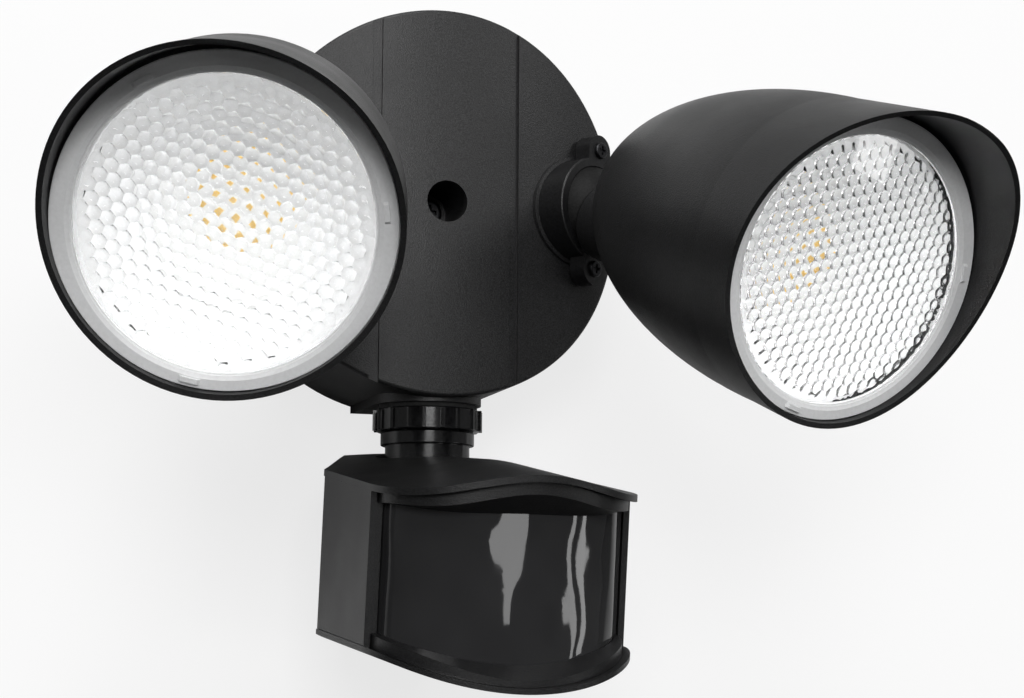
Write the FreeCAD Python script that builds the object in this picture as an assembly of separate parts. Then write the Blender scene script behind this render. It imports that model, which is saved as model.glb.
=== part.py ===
"""Twin-head motion sensor security light, in millimetres.

The origin is on the canopy's axis in the wall plane. +Z is up, +X is to the right seen from
the front, and the light looks along -Y. A round canopy covers the junction box. Two lamp heads
leave it on ball joints, and a motion sensor hangs under it on a neck with a lock nut.
"""
import FreeCAD, Part
import math
import os

V = FreeCAD.Vector
os.makedirs("parts", exist_ok=True)

# ---- clearances -------------------------------------------------------------------------
GAP = 0.3                     # between curved faces that move, and round seated pieces
SCREW_GAP = 0.2               # round a screw's shank
FIT_GAP = 0.1                 # round a piece that is pushed into its pocket
THREAD_GAP = 0.05             # between a screw thread and its nut
HOLE_PAST = 1.0               # how much deeper a blind screw hole is than its screw

# ---- canopy -----------------------------------------------------------------------------
CANOPY_FRONT_R = 63.5
CANOPY_DRAUGHT = 1.4          # how much wider the canopy is at the wall
CANOPY_BACK_R = CANOPY_FRONT_R + CANOPY_DRAUGHT
CANOPY_DEPTH = 53.0
CANOPY_CURVE_R = 147.5        # the front is curved about a vertical line
CANOPY_WALL = 2.5
CANOPY_EDGE = 1.2
GROOVE_X = 23.4
GROOVE_W = 3.2
GROOVE_DEEP = 1.0
HOLE_R = 6.77                 # screw access hole in the canopy's centre
HOLE_DEEP = 24.0
HOLE_WALL = 2.4
HOLE_FLOOR = 3.0

# ---- back of the canopy -----------------------------------------------------------------
GASKET_T = 3.0
GASKET_W = 6.0
BACK_COVER_T = 2.0
BRACKET_END_GAP = 9.5         # from the bracket's ends to the canopy's front radius
BRACKET_L = 2 * (CANOPY_FRONT_R - BRACKET_END_GAP)
BRACKET_H = 21.0
BRACKET_T = 1.8
BRACKET_CORNER_R = 4.0
BRACKET_COLLAR_WALL = 2.5     # threaded collar in the bracket's middle
BRACKET_COLLAR_L = 3.0
BACK_WINDOW_EDGE = 3.0        # room round the bracket in the back cover
BACK_WINDOW_W = BRACKET_L + 2 * BACK_WINDOW_EDGE
BACK_WINDOW_H = BRACKET_H + 2 * BACK_WINDOW_EDGE
SLOT_END = 9.55               # slot centres, inward of the bracket's ends
SLOT_SPACING = BRACKET_L - 2 * SLOT_END    # 88.9, the screws of a 4 in junction box
SLOT_L = 12.0
SLOT_W = 4.6
MOUNT_SCREW_R = 2.1
MOUNT_HEAD_R = 4.75
MOUNT_HEAD_T = 3.4
COVER_SCREW_R = 1.6
COVER_HEAD_R = 3.0
COVER_HEAD_T = 1.8
COVER_SCREW_L = 12.0
COVER_SCREW_RING_R = 50.0
COVER_BOSS_R = 3.6
COVER_SCREW_ANGLES = (38.0, 142.0, 222.0, 318.0)

# ---- driver -----------------------------------------------------------------------------
DRIVER_W = 46.0
DRIVER_H = 28.0
DRIVER_D = 24.0
DRIVER_Z = 19.0               # underside of the driver
DRIVER_LID_T = 2.0
DRIVER_CORNER_R = 2.0
DRIVER_WALL = 1.6
TERMINAL_W = 30.0
TERMINAL_H = 10.0
TERMINAL_D = 11.0
TERMINAL_Z = -30.0
TERMINAL_WAYS = 3
TERMINAL_WAY_R = 1.9

# ---- ball joints of the heads -----------------------------------------------------------
BALL_INSIDE = 13.4            # ball centres, inward of the canopy's front radius
BALL_BEHIND = 6.0             # and behind its front
BALL_X = CANOPY_FRONT_R - BALL_INSIDE
BALL_Y = BALL_BEHIND - CANOPY_DEPTH
BALL_Z = 1.1
BALL_R = 15.2
SOCKET_TURN = 28.0            # socket axis, degrees outward from straight ahead
SOCKET_R = 17.5
SOCKET_FLANGE = 1.3           # canopy boss round the socket
SOCKET_PROUD = 1.2
SOCKET_BEHIND = 18.3          # socket floor's outside, behind the ball's centre
SOCKET_FLOOR = 2.0
SEAT_R = 13.4
SEAT_BORE_PAST = 1.0          # how much wider the seat's bore is than the wire way
SEAT_RIM = 0.45               # how far behind the ball's centre the seat ends, in ball radii
SEAM_AHEAD = 2.0              # face between socket base and clamp ring, ahead of the ball's centre
RING_T = 3.0
CLAMP_RING_EDGE = 0.6
EAR_OUT = 20.2                # ear centres from the socket's axis
EAR_TURN = 4.2                # the upper ear leans outward, in degrees
EAR_R = 5.3
EAR_T = 3.0
CLAMP_SCREW_R = 1.5
CLAMP_HEAD_R = 2.7
CLAMP_HEAD_T = 1.2
WIRE_R = 3.6

# ---- lamp heads, in a frame with the lens face at z = 0, z forward and y up ---------------
HEAD_TURN = {"left": -18.7, "right": 14.5}
HEAD_DROP = {"left": -20.9, "right": -21.6}
BALL_IN = 4.5                 # ball centre, inward of the lens axis
BALL_DOWN = 11.5
SHELL_R = 46.4
SHELL_NOSE = 98.0             # length of the rounded back
SHELL_STRAIGHT = 15.0         # start of the conical front, behind the lens face
SHELL_FLARE = 0.045
SHELL_WALL = 1.9
SHELL_LIFT = 1.15             # degrees that the bullet form points above the lens axis,
SHELL_PIVOT_Z = -65.0         # turned about this point
HOOD_WALL = 1.3
HOOD_TURN = {"left": -4.5, "right": -18.0}    # the hood's long side, degrees from straight up
HOOD_SHORT = 3.0              # hood length past the lens face, at the short side,
HOOD_MID = 5.3                # half-way round,
HOOD_LONG = 22.0              # and at the long side
HOOD_BLANK = 30.0
HOOD_RUN_ON = 6.0             # how far the cut goes on past the hood's long side
LEDGE_W = 3.6
LEDGE_T = 3.0
RING_R = 44.1
RING_IN_R = 39.4
LENS_RING_T = 2.2
RING_BEVEL_W = 1.0            # bevel round the lens ring's inner edge
RING_BEVEL_T = 0.8
RING_EDGE_GAP = 0.1
LENS_T = 3.0
LENS_CROWN = 1.6
LENS_LAND = 1.6               # flange of the lens under its ring
LENS_SIDE_GAP = 0.4
GASKET_HEAD_T = 1.2
TAB_ANGLES = (118.0, 5.0, 256.0)
TAB_L = 5.0
TAB_W = 1.4
TAB_T = 0.8
TAB_INSET = 1.2               # from the lens ring's edge
PAD_R = 13.2
PAD_PAST_NOSE = 1.5           # the stem's pad stands this far behind the bullet's nose
PAD_BACK = SHELL_STRAIGHT + SHELL_NOSE + PAD_PAST_NOSE
PAD_DEPTH = 18.0
PAD_WALL = 1.7
PAD_FLOOR = 9.0
STEM_L = 15.0                 # from the pad to the ball's centre
BALL_BACK = PAD_BACK + STEM_L
STEM_FLANGE_R = 12.2
STEM_FLANGE_T = 2.6
STEM_FLANGE_EDGE = 0.8
STEM_R = 9.6
SPIGOT_R = 6.0
SPIGOT_L = 17.0
STEM_NUT_AF = 17.0
STEM_NUT_T = 4.5
SINK_Z = -31.0                # front face of the heat sink
SINK_T = 3.0
SINK_R = 41.5
SINK_FINS = 7
SINK_FIN_T = 1.6
SINK_FIN_L = 20.0
SINK_FIN_PITCH = 8.0
SINK_FIN_EDGE_R = 29.0        # the fins end on a circle,
SINK_FIN_INSET = 4.0          # less this much
BOARD_R = 20.0
BOARD_T = 1.6
CHIP_ROWS = 6
CHIP_PITCH = 2.9
CHIP_SIZE = 2.1
CHIP_T = 0.7
REFLECTOR_T = 1.2
REFLECTOR_RIM_GAP = 1.0       # under the lens gasket
BOWL_DEEP = 3.5               # how far the bowl's side is drawn out from a straight cone
SINK_SCREW_R = 1.5
SINK_HEAD_R = 2.8
SINK_HEAD_T = 1.6
SINK_SCREW_L = 9.0
SINK_SCREW_RING_R = 36.5
SINK_BOSS_R = 3.6
SINK_SCREW_ANGLES = (30.0, 150.0, 270.0)

# ---- neck and lock nut ------------------------------------------------------------------
NECK_BEHIND = 19.8            # the neck's axis, behind the canopy's front
NECK_Y = NECK_BEHIND - CANOPY_DEPTH
PAD_W = 35.0                  # flat pad under the canopy
PAD_T = 7.8
PAD_Z = 0.1 - CANOPY_BACK_R
PAD_TOP_Z = PAD_Z + PAD_T
WASHER_R = 16.2
NUT_R = 16.8
NUT_RIB = 1.2
NUT_RIB_W = 1.1
NUT_RIBS = 18
NUT_EDGE = 0.5
NUT_RIB_ROOT = 0.6            # how deep the ribs run into the nut,
NUT_RIB_END = 0.3             # and how far they end from its faces
WASHER_T = 1.4
NUT_H = 7.2
NUT_TOP_Z = PAD_Z - WASHER_T - FIT_GAP
NUT_BOTTOM_Z = NUT_TOP_Z - NUT_H
COLLAR_R = 15.3
COLLAR_H = 4.25
COLLAR_EDGE = 0.4
COLLAR_TOP_Z = NUT_BOTTOM_Z - GAP
COLLAR_BOTTOM_Z = COLLAR_TOP_Z - COLLAR_H
NECK_R = 13.8
NECK_L = 9.95                 # from the collar to the centre of the neck's ball end
THREAD_R = 11.5
THREAD_PAST = 7.0             # thread above the pad, inside the canopy
THREAD_TOP_Z = PAD_TOP_Z + THREAD_PAST
NECK_BORE_R = 6.0
RETAINER_R = 15.5
RETAINER_T = 2.0
RETAINER_SLIT = 6.0
TILT_Z = COLLAR_BOTTOM_Z - NECK_L

# ---- sensor, in a frame with the neck's axis at x = y = 0 --------------------------------
SENSOR_ABOVE_BALL = 4.0       # the frame's origin, above the neck's ball end
SENSOR_PAN = 4.1
SENSOR_PITCH = 6.3
SENSOR_HALF_W = 42.2
SENSOR_FRONT_Y = -64.5        # where the sides end and the curved front starts
SENSOR_BULGE = 30.5
SENSOR_CORNER_Y = -21.5       # where the sides end and the back slopes in
SENSOR_BACK_Y = 21.5
SENSOR_BACK_HALF_W = 21.5
SENSOR_WALL = 2.0
SIDE_WALL_PAST = 1.0          # the side walls run on a little past the start of the front
TOP_EDGE_Z = -4.1             # the top cover's long edges at the start of the front,
TOP_EDGE_SLOPE = 0.05         # and how they climb to the back
TOP_FRONT_RISE = 6.8          # how far it arches up at the front,
TOP_MID_RISE = 7.2            # half-way back
TOP_BACK_RISE = 2.45          # and at the back
TOP_MID_Y = -48.0
TOP_T = 2.0
FLOOR_EDGE_Z = -52.3          # the bottom cover's underside at its long edges
FLOOR_DROP = 9.1
FLOOR_T = 1.6
BODY_INSET = 0.3              # body under the edges of the covers
WINDOW_HALF_W = 37.4
WINDOW_BULGE = 19.0
WINDOW_T = 1.6
WINDOW_TOP_Z = -9.4
WINDOW_TOP_DIP = 15.0
WINDOW_BOTTOM_Z = -47.6
LIP_TOP_EDGE = 2.4            # front lips, below the top cover's edge
LIP_TOP_RISE = 6.0
LIP_BOTTOM_EDGE = 1.4         # and above the bottom cover's edge
LIP_END_DROP = 0.8            # how much the lips' inner edges bend by the window
BEZEL_BACK = 3.0
NECK_HOLE_R = 17.0
SEAT_WALL = 3.0
SEAT_H = 13.0
SEAT_LIP = 3.0                # the cup's floor reaches this far under the ball
SENSOR_BOARD_W = 56.0
SENSOR_BOARD_H = 30.0
SENSOR_BOARD_T = 1.6
SENSOR_BOARD_Y = -45.0
SENSOR_BOARD_Z = -44.0
RAIL_LAP = 2.0                # how far the board overlaps the rails that carry it
RAIL_T = 3.0
DETECTOR_R = 4.6
DETECTOR_T = 4.2
CELL_R = 2.5
CELL_T = 2.0
CELL_X = 17.0
DETECTOR_EDGE = 0.6
DIAL_X = 15.0
DIAL_Y = -30.0
DIAL_R = 6.0
DIAL_DEEP = 4.0
DIAL_STEM_L = 5.0
DIAL_SLOT = 1.6
SENSOR_SCREW_R = 1.4
SENSOR_HEAD_R = 2.6
SENSOR_HEAD_T = 1.5
SENSOR_SCREW_L = 12.0
SENSOR_SCREW_X = 32.0
SENSOR_SCREW_YS = (-52.0, -24.0)
SCREW_PAD_R = 4.2             # pad inside the cover that each screw's head sinks into
SCREW_PAD_T = 1.4             # what is left of it over the head
SENSOR_BOSS_R = 3.4

FAR = 200.0                   # past the whole light, for cuts that go right through

NODES = {}


# ---- helpers ----------------------------------------------------------------------------
def vec(x, y, z):
    return V(x, y, z)


def cylinder(radius, start, end):
    """A round bar between two points."""
    line = end - start
    return Part.makeCylinder(radius, line.Length, start, line)


def tube(outer, inner, start, end):
    return cylinder(outer, start, end).cut(cylinder(inner, start, end))


def box(x0, x1, y0, y1, z0, z1):
    return Part.makeBox(x1 - x0, y1 - y0, z1 - z0, vec(x0, y0, z0))


def segment(start, end):
    return Part.LineSegment(start, end).toShape()


def arc(start, middle, end):
    return Part.Arc(start, middle, end).toShape()


def spline(points):
    curve = Part.BSplineCurve()
    curve.interpolate(points)
    return curve.toShape()


def face_of(edges):
    return Part.Face(Part.Wire(edges))


def polygon(points):
    return Part.Face(Part.makePolygon(list(points) + [points[0]]))


def revolved(edges):
    """A full turn about the z axis of a closed outline in the xz plane."""
    return face_of(edges).revolve(vec(0, 0, 0), vec(0, 0, 1), 360)


def revolved_polygon(points):
    corners = [vec(r, 0, z) for r, z in points]
    return polygon(corners).revolve(vec(0, 0, 0), vec(0, 0, 1), 360)


def save(name, shape):
    NODES[name] = shape


def pan_screw(shank_r, head_r, head_t, length, cross=0.35):
    """A pan head screw along +z, its head's underside at z = 0 and its point at -length."""
    head = Part.makeCylinder(head_r, head_t)
    head = head.makeFillet(head_t * 0.45, [e for e in head.Edges if e.BoundBox.ZMin > head_t * 0.9])
    arm = head_r * 1.1
    slot = head_r * cross
    for along, across in ((arm, slot), (slot, arm)):
        cut = box(-along / 2, along / 2, -across / 2, across / 2, head_t * 0.4, head_t + 1)
        head = head.cut(cut)
    shank = Part.makeCylinder(shank_r, length, vec(0, 0, -length))
    return head.fuse(shank)


def placed(shape, origin, x_axis, y_axis, z_axis):
    """The shape moved from its own axes to the given ones."""
    matrix = FreeCAD.Matrix(
        x_axis.x, y_axis.x, z_axis.x, origin.x,
        x_axis.y, y_axis.y, z_axis.y, origin.y,
        x_axis.z, y_axis.z, z_axis.z, origin.z,
        0, 0, 0, 1)
    copy = shape.copy()
    copy.Placement = FreeCAD.Placement(matrix)
    return copy


# ---- canopy -----------------------------------------------------------------------------
def drum(grow, back_y=0.0):
    """The canopy's outer form, grown by a distance: a draughted drum with a curved front."""
    slope = (CANOPY_BACK_R - CANOPY_FRONT_R) / CANOPY_DEPTH
    back_r = CANOPY_BACK_R + grow + slope * back_y
    long_y = CANOPY_DEPTH + 10.0
    front_r = CANOPY_BACK_R + grow - slope * long_y
    cone = Part.makeCone(back_r, front_r, long_y + back_y, vec(0, back_y, 0), vec(0, -1, 0))
    return cone.common(front_limit(grow))


def front_limit(grow):
    centre_y = CANOPY_CURVE_R - CANOPY_DEPTH
    return Part.makeCylinder(CANOPY_CURVE_R + grow, 2 * FAR, vec(0, centre_y, -FAR))


def canopy_front_y(x):
    """Where the canopy's front face is, at a distance x from its middle."""
    return -(CANOPY_DEPTH - CANOPY_CURVE_R + math.sqrt(CANOPY_CURVE_R ** 2 - x ** 2))


def ball_centre(side):
    return vec(side * BALL_X, BALL_Y, BALL_Z)


def socket_axis(side):
    turn = math.radians(SOCKET_TURN)
    return vec(side * math.sin(turn), -math.cos(turn), 0)


def in_socket(shape, side):
    """A shape drawn round the z axis, with the ball at the origin, moved into its socket."""
    z_axis = socket_axis(side)
    lean = math.radians(EAR_TURN)
    outward = z_axis.cross(vec(0, 0, 1)) * -side
    y_axis = vec(0, 0, math.cos(lean)) + outward * math.sin(lean)
    x_axis = y_axis.cross(z_axis)
    return placed(shape, ball_centre(side), x_axis, y_axis, z_axis)


def canopy_groove(x):
    outer = front_limit(1.0)
    inner = front_limit(-GROOVE_DEEP)
    reach = CANOPY_FRONT_R + 5.0
    strip = box(x - GROOVE_W / 2, x + GROOVE_W / 2, -CANOPY_DEPTH - 5, -CANOPY_DEPTH / 3, -reach, reach)
    return strip.common(outer.cut(inner))


def neck_pad(grow=0.0, bottom_z=PAD_Z, top_z=PAD_TOP_Z):
    """The flat pad under the canopy: straight sides to the wall, round in front."""
    half = PAD_W / 2 + grow
    straight = box(-half, half, NECK_Y, 0, bottom_z, top_z)
    round_end = Part.makeCylinder(half, top_z - bottom_z, vec(0, NECK_Y, bottom_z))
    return straight.fuse(round_end)


def cover_screw_places():
    for angle in COVER_SCREW_ANGLES:
        turn = math.radians(angle)
        yield COVER_SCREW_RING_R * math.cos(turn), COVER_SCREW_RING_R * math.sin(turn)


def back_cover_front_y():
    return -(GASKET_T + BACK_COVER_T)


def canopy_housing():
    outer = drum(0.0)
    front_edge = [e for e in outer.Edges if e.BoundBox.YMax < -CANOPY_DEPTH / 2 and e.Length > CANOPY_FRONT_R]
    outer = outer.makeFillet(CANOPY_EDGE, front_edge).fuse(neck_pad())
    hollow = drum(-CANOPY_WALL, 1.0)
    hollow = hollow.cut(neck_pad(CANOPY_WALL, PAD_Z - CANOPY_WALL, PAD_TOP_Z))
    cover_y = back_cover_front_y()
    for x, z in cover_screw_places():
        hollow = hollow.cut(cylinder(COVER_BOSS_R, vec(x, canopy_front_y(x), z), vec(x, cover_y, z)))
    pockets = []
    pocket_r = SOCKET_R + FIT_GAP
    for side in (-1, 1):
        boss = Part.makeCylinder(SOCKET_R + SOCKET_FLANGE, CANOPY_DEPTH, vec(0, 0, -SOCKET_BEHIND))
        outer = outer.fuse(in_socket(boss, side).common(front_limit(SOCKET_PROUD)))
        wall = Part.makeCylinder(pocket_r + CANOPY_WALL, CANOPY_DEPTH, vec(0, 0, -SOCKET_BEHIND))
        hollow = hollow.cut(in_socket(wall, side))
        pocket = Part.makeCylinder(pocket_r, FAR, vec(0, 0, -SOCKET_BEHIND - CANOPY_WALL))
        pockets.append(in_socket(pocket, side))
        for ear in ears(SEAM_AHEAD - EAR_T - FIT_GAP, SEAM_AHEAD + EAR_T, FIT_GAP):
            pockets.append(in_socket(ear, side))
    body = outer.cut(hollow)
    for pocket in pockets:
        body = body.cut(pocket)
    for x in (-GROOVE_X, GROOVE_X):
        body = body.cut(canopy_groove(x))
    body = body.cut(cylinder(HOLE_R, vec(0, -FAR, 0), vec(0, 0, 0)))
    for x, z in cover_screw_places():
        start = vec(x, cover_y - COVER_SCREW_L, z)
        body = body.cut(cylinder(COVER_SCREW_R, start, vec(x, cover_y, z)))
    bore = Part.makeCylinder(THREAD_R + GAP, PAD_TOP_Z - PAD_Z + 2, vec(0, NECK_Y, PAD_Z - 1))
    return body.cut(bore)


def screw_seat_y():
    """The floor of the screw tube, where the mounting screw's head sits."""
    return HOLE_DEEP - CANOPY_DEPTH


def screw_tube():
    """The tube behind the centre hole: it stands on the front wall and ends in the screw's seat."""
    front = vec(0, canopy_front_y(HOLE_R + HOLE_WALL) + CANOPY_WALL, 0)
    back = vec(0, screw_seat_y() + HOLE_FLOOR, 0)
    tower = cylinder(HOLE_R + HOLE_WALL, front, back)
    tower = tower.cut(cylinder(HOLE_R, front, vec(0, screw_seat_y(), 0)))
    return tower.cut(cylinder(MOUNT_SCREW_R + SCREW_GAP, front, back))


def make_canopy():
    save("canopy_housing", canopy_housing())
    save("screw_tube", screw_tube())
    inside_r = CANOPY_BACK_R - CANOPY_WALL - GAP
    gasket = tube(inside_r, inside_r - GASKET_W, vec(0, -GASKET_T, 0), vec(0, 0, 0))
    pad_clearance = CANOPY_WALL + GAP
    save("wall_gasket", gasket.cut(neck_pad(pad_clearance, PAD_Z, PAD_TOP_Z + GAP)))
    cover_y = back_cover_front_y()
    cover = cylinder(inside_r, vec(0, cover_y, 0), vec(0, -GASKET_T, 0))
    half_w = BACK_WINDOW_W / 2
    half_h = BACK_WINDOW_H / 2
    cover = cover.cut(box(-half_w, half_w, cover_y - 1, 0, -half_h, half_h))
    cover = cover.cut(neck_pad(pad_clearance, PAD_Z, PAD_TOP_Z + GAP))
    screws = []
    for x, z in cover_screw_places():
        cover = cover.cut(cylinder(COVER_SCREW_R + SCREW_GAP, vec(x, cover_y - 1, z), vec(x, 0, z)))
        screw = pan_screw(COVER_SCREW_R, COVER_HEAD_R, COVER_HEAD_T, COVER_SCREW_L - HOLE_PAST)
        screws.append(placed(screw, vec(x, -GASKET_T, z), vec(1, 0, 0), vec(0, 0, -1), vec(0, 1, 0)))
    save("back_cover", cover)
    save("back_cover_screws", Part.makeCompound(screws))
    bar = box(-BRACKET_L / 2, BRACKET_L / 2, -BRACKET_T, 0, -BRACKET_H / 2, BRACKET_H / 2)
    upright = [e for e in bar.Edges if e.BoundBox.YLength > BRACKET_T * 0.9]
    bar = bar.makeFillet(BRACKET_CORNER_R, upright)
    for x in (-SLOT_SPACING / 2, SLOT_SPACING / 2):
        straight = (SLOT_L - SLOT_W) / 2
        slot = box(x - straight, x + straight, -FAR, FAR, -SLOT_W / 2, SLOT_W / 2)
        for end in (x - straight, x + straight):
            slot = slot.fuse(cylinder(SLOT_W / 2, vec(end, -FAR, 0), vec(end, FAR, 0)))
        bar = bar.cut(slot)
    collar_front = vec(0, -BRACKET_T - BRACKET_COLLAR_L, 0)
    bar = bar.fuse(cylinder(MOUNT_SCREW_R + BRACKET_COLLAR_WALL, collar_front, vec(0, -BRACKET_T, 0)))
    bar = bar.cut(cylinder(MOUNT_SCREW_R + THREAD_GAP, vec(0, -FAR, 0), vec(0, FAR, 0)))
    save("crossbar_bracket", bar.removeSplitter())
    seat = vec(0, screw_seat_y(), 0)
    screw = pan_screw(MOUNT_SCREW_R, MOUNT_HEAD_R, MOUNT_HEAD_T, seat.Length - 0.5)
    screw = placed(screw, seat, vec(1, 0, 0), vec(0, 0, 1), vec(0, -1, 0))
    save("mounting_screw", screw)


# ---- driver and terminals ---------------------------------------------------------------
def make_driver():
    back_y = back_cover_front_y()
    front_y = back_y - DRIVER_D
    half = DRIVER_W / 2
    top_z = DRIVER_Z + DRIVER_H
    case = box(-half, half, front_y, back_y, DRIVER_Z, top_z)
    inner = box(-half + DRIVER_WALL, half - DRIVER_WALL, front_y - 1, back_y - DRIVER_WALL,
                DRIVER_Z + DRIVER_WALL, top_z - DRIVER_WALL)
    save("driver_case", case.cut(inner))
    lid = box(-half, half, front_y - DRIVER_LID_T, front_y, DRIVER_Z, top_z)
    edge = [e for e in lid.Edges if e.BoundBox.YLength > DRIVER_LID_T * 0.9]
    save("driver_lid", lid.makeFillet(DRIVER_CORNER_R, edge))
    half = TERMINAL_W / 2
    block = box(-half, half, back_y - TERMINAL_D, back_y, TERMINAL_Z - TERMINAL_H / 2, TERMINAL_Z + TERMINAL_H / 2)
    pitch = TERMINAL_W / TERMINAL_WAYS
    for i in range(TERMINAL_WAYS):
        x = (i - (TERMINAL_WAYS - 1) / 2) * pitch
        y = back_y - TERMINAL_D / 2
        block = block.cut(Part.makeCylinder(TERMINAL_WAY_R, TERMINAL_H + 2, vec(x, y, TERMINAL_Z - TERMINAL_H)))
        screw_way = cylinder(TERMINAL_WAY_R * 0.9, vec(x, back_y - TERMINAL_D - 1, TERMINAL_Z), vec(x, y, TERMINAL_Z))
        block = block.cut(screw_way)
    save("terminal_block", block)


# ---- ball sockets -----------------------------------------------------------------------
def ears(z0, z1, grow=0.0):
    lobes = []
    half = EAR_R + grow
    for sign in (-1, 1):
        lobe = Part.makeCylinder(half, z1 - z0, vec(0, sign * EAR_OUT, z0))
        web = box(-half, half, min(0, sign * EAR_OUT), max(0, sign * EAR_OUT), z0, z1)
        lobes.append(lobe.fuse(web))
    return lobes


def make_socket(side, word):
    cavity = Part.makeSphere(BALL_R + GAP)
    rear = -SOCKET_BEHIND
    base = Part.makeCylinder(SOCKET_R, SEAM_AHEAD - rear, vec(0, 0, rear))
    for ear in ears(SEAM_AHEAD - EAR_T, SEAM_AHEAD):
        base = base.fuse(ear)
    base = base.cut(cavity)
    base = base.cut(Part.makeCylinder(SEAT_R + GAP, -rear - SOCKET_FLOOR, vec(0, 0, rear + SOCKET_FLOOR)))
    base = base.cut(Part.makeCylinder(WIRE_R, FAR, vec(0, 0, rear - 1)))
    ring = Part.makeCylinder(SOCKET_R, RING_T, vec(0, 0, SEAM_AHEAD))
    edge = [e for e in ring.Edges if e.BoundBox.ZMin > SEAM_AHEAD + RING_T / 2]
    ring = ring.makeFillet(CLAMP_RING_EDGE, edge)
    for ear in ears(SEAM_AHEAD, SEAM_AHEAD + EAR_T):
        ring = ring.fuse(ear)
    ring = ring.cut(cavity)
    screws = []
    for sign in (-1, 1):
        way = Part.makeCylinder(CLAMP_SCREW_R + SCREW_GAP, RING_T + 2, vec(0, sign * EAR_OUT, SEAM_AHEAD))
        ring = ring.cut(way)
        thread = Part.makeCylinder(CLAMP_SCREW_R, EAR_T + 2, vec(0, sign * EAR_OUT, SEAM_AHEAD - EAR_T - 1))
        base = base.cut(thread)
        screw = pan_screw(CLAMP_SCREW_R, CLAMP_HEAD_R, CLAMP_HEAD_T, EAR_T + RING_T)
        screw.translate(vec(0, sign * EAR_OUT, SEAM_AHEAD + RING_T))
        screws.append(screw)
    seat = Part.makeCylinder(SEAT_R, BALL_R, vec(0, 0, rear + SOCKET_FLOOR + GAP))
    seat = seat.cut(cavity)
    seat = seat.cut(Part.makeCylinder(WIRE_R + SEAT_BORE_PAST, FAR, vec(0, 0, rear)))
    seat = seat.cut(box(-FAR, FAR, -FAR, FAR, -BALL_R * SEAT_RIM, FAR))
    save("socket_base_" + word, in_socket(base.removeSplitter(), side))
    save("clamp_ring_" + word, in_socket(ring.removeSplitter(), side))
    save("clamp_screws_" + word, in_socket(Part.makeCompound(screws), side))
    save("ball_seat_" + word, in_socket(seat, side))


# ---- lamp heads -------------------------------------------------------------------------
def head_axes(word):
    turn = math.radians(HEAD_TURN[word])
    drop = math.radians(HEAD_DROP[word])
    x_axis = vec(math.cos(turn), math.sin(turn), 0)
    z_axis = vec(math.sin(turn) * math.cos(drop), -math.cos(turn) * math.cos(drop), math.sin(drop))
    return x_axis, z_axis.cross(x_axis), z_axis


def in_head(shape, side, word):
    """A shape in the head's own frame, moved so that the head's ball is in its socket."""
    x_axis, y_axis, z_axis = head_axes(word)
    ball = ball_in_head(side)
    offset = x_axis * ball.x + y_axis * ball.y + z_axis * ball.z
    return placed(shape, ball_centre(side) - offset, x_axis, y_axis, z_axis)


def ball_in_head(side):
    return vec(-side * BALL_IN, -BALL_DOWN, -BALL_BACK)


def shell_form(shrink, shrink_front):
    """The head's bullet form: half an ellipse, then a slight cone that runs past the lens.

    Shrinking it by the wall gives its hollow; the wall gets thinner towards the hood.
    """
    r = SHELL_R - shrink
    nose = SHELL_NOSE - shrink
    start_z = -SHELL_STRAIGHT
    front_r = SHELL_R + SHELL_FLARE * (HOOD_BLANK - start_z) - shrink_front
    tip = vec(0, 0, start_z - nose)
    wide = vec(r, 0, start_z)
    ellipse = Part.Ellipse(vec(0, 0, start_z - nose), vec(r, 0, start_z), vec(0, 0, start_z))
    quarter = Part.Arc(ellipse, 0.0, math.pi / 2).toShape()
    ends = [v.Point for v in quarter.Vertexes]
    assert min((p - tip).Length for p in ends) < 0.01 and min((p - wide).Length for p in ends) < 0.01
    lip = vec(front_r, 0, HOOD_BLANK)
    top = vec(0, 0, HOOD_BLANK)
    form = revolved([quarter, segment(wide, lip), segment(lip, top), segment(top, tip)])
    form.rotate(vec(0, 0, SHELL_PIVOT_Z), vec(1, 0, 0), -SHELL_LIFT)
    return form


def hood_rise():
    """How far the bullet form's centre is above the lens axis, half-way along the hood."""
    return (HOOD_MID - SHELL_PIVOT_Z) * math.tan(math.radians(SHELL_LIFT))


def hood_cutter(word):
    """What the slanted hood leaves away: all in front of an arc from its short to its long side."""
    reach = SHELL_R + SHELL_FLARE * HOOD_BLANK
    low = vec(0, -reach, HOOD_SHORT)
    mid = vec(0, 0, HOOD_MID)
    high = vec(0, reach, HOOD_LONG)
    far = HOOD_BLANK * 2
    past_high = vec(0, reach * 2, HOOD_LONG + HOOD_RUN_ON)
    outline = [arc(low, mid, high), segment(high, past_high),
               segment(past_high, vec(0, reach * 2, far)),
               segment(vec(0, reach * 2, far), vec(0, -reach * 2, far)),
               segment(vec(0, -reach * 2, far), vec(0, -reach * 2, HOOD_SHORT)),
               segment(vec(0, -reach * 2, HOOD_SHORT), low)]
    block = face_of(outline).extrude(vec(4 * reach, 0, 0))
    block.translate(vec(-2 * reach, 0, 0))
    block.rotate(vec(0, 0, 0), vec(0, 0, 1), HOOD_TURN[word])
    block.translate(vec(0, hood_rise(), 0))
    return block


def ring_seat_z():
    """Where the lens gasket sits on the shell's ledge."""
    return -LENS_RING_T - LENS_LAND - GASKET_HEAD_T


def sink_screw_places():
    for angle in SINK_SCREW_ANGLES:
        turn = math.radians(angle)
        yield SINK_SCREW_RING_R * math.cos(turn), SINK_SCREW_RING_R * math.sin(turn)


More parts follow.
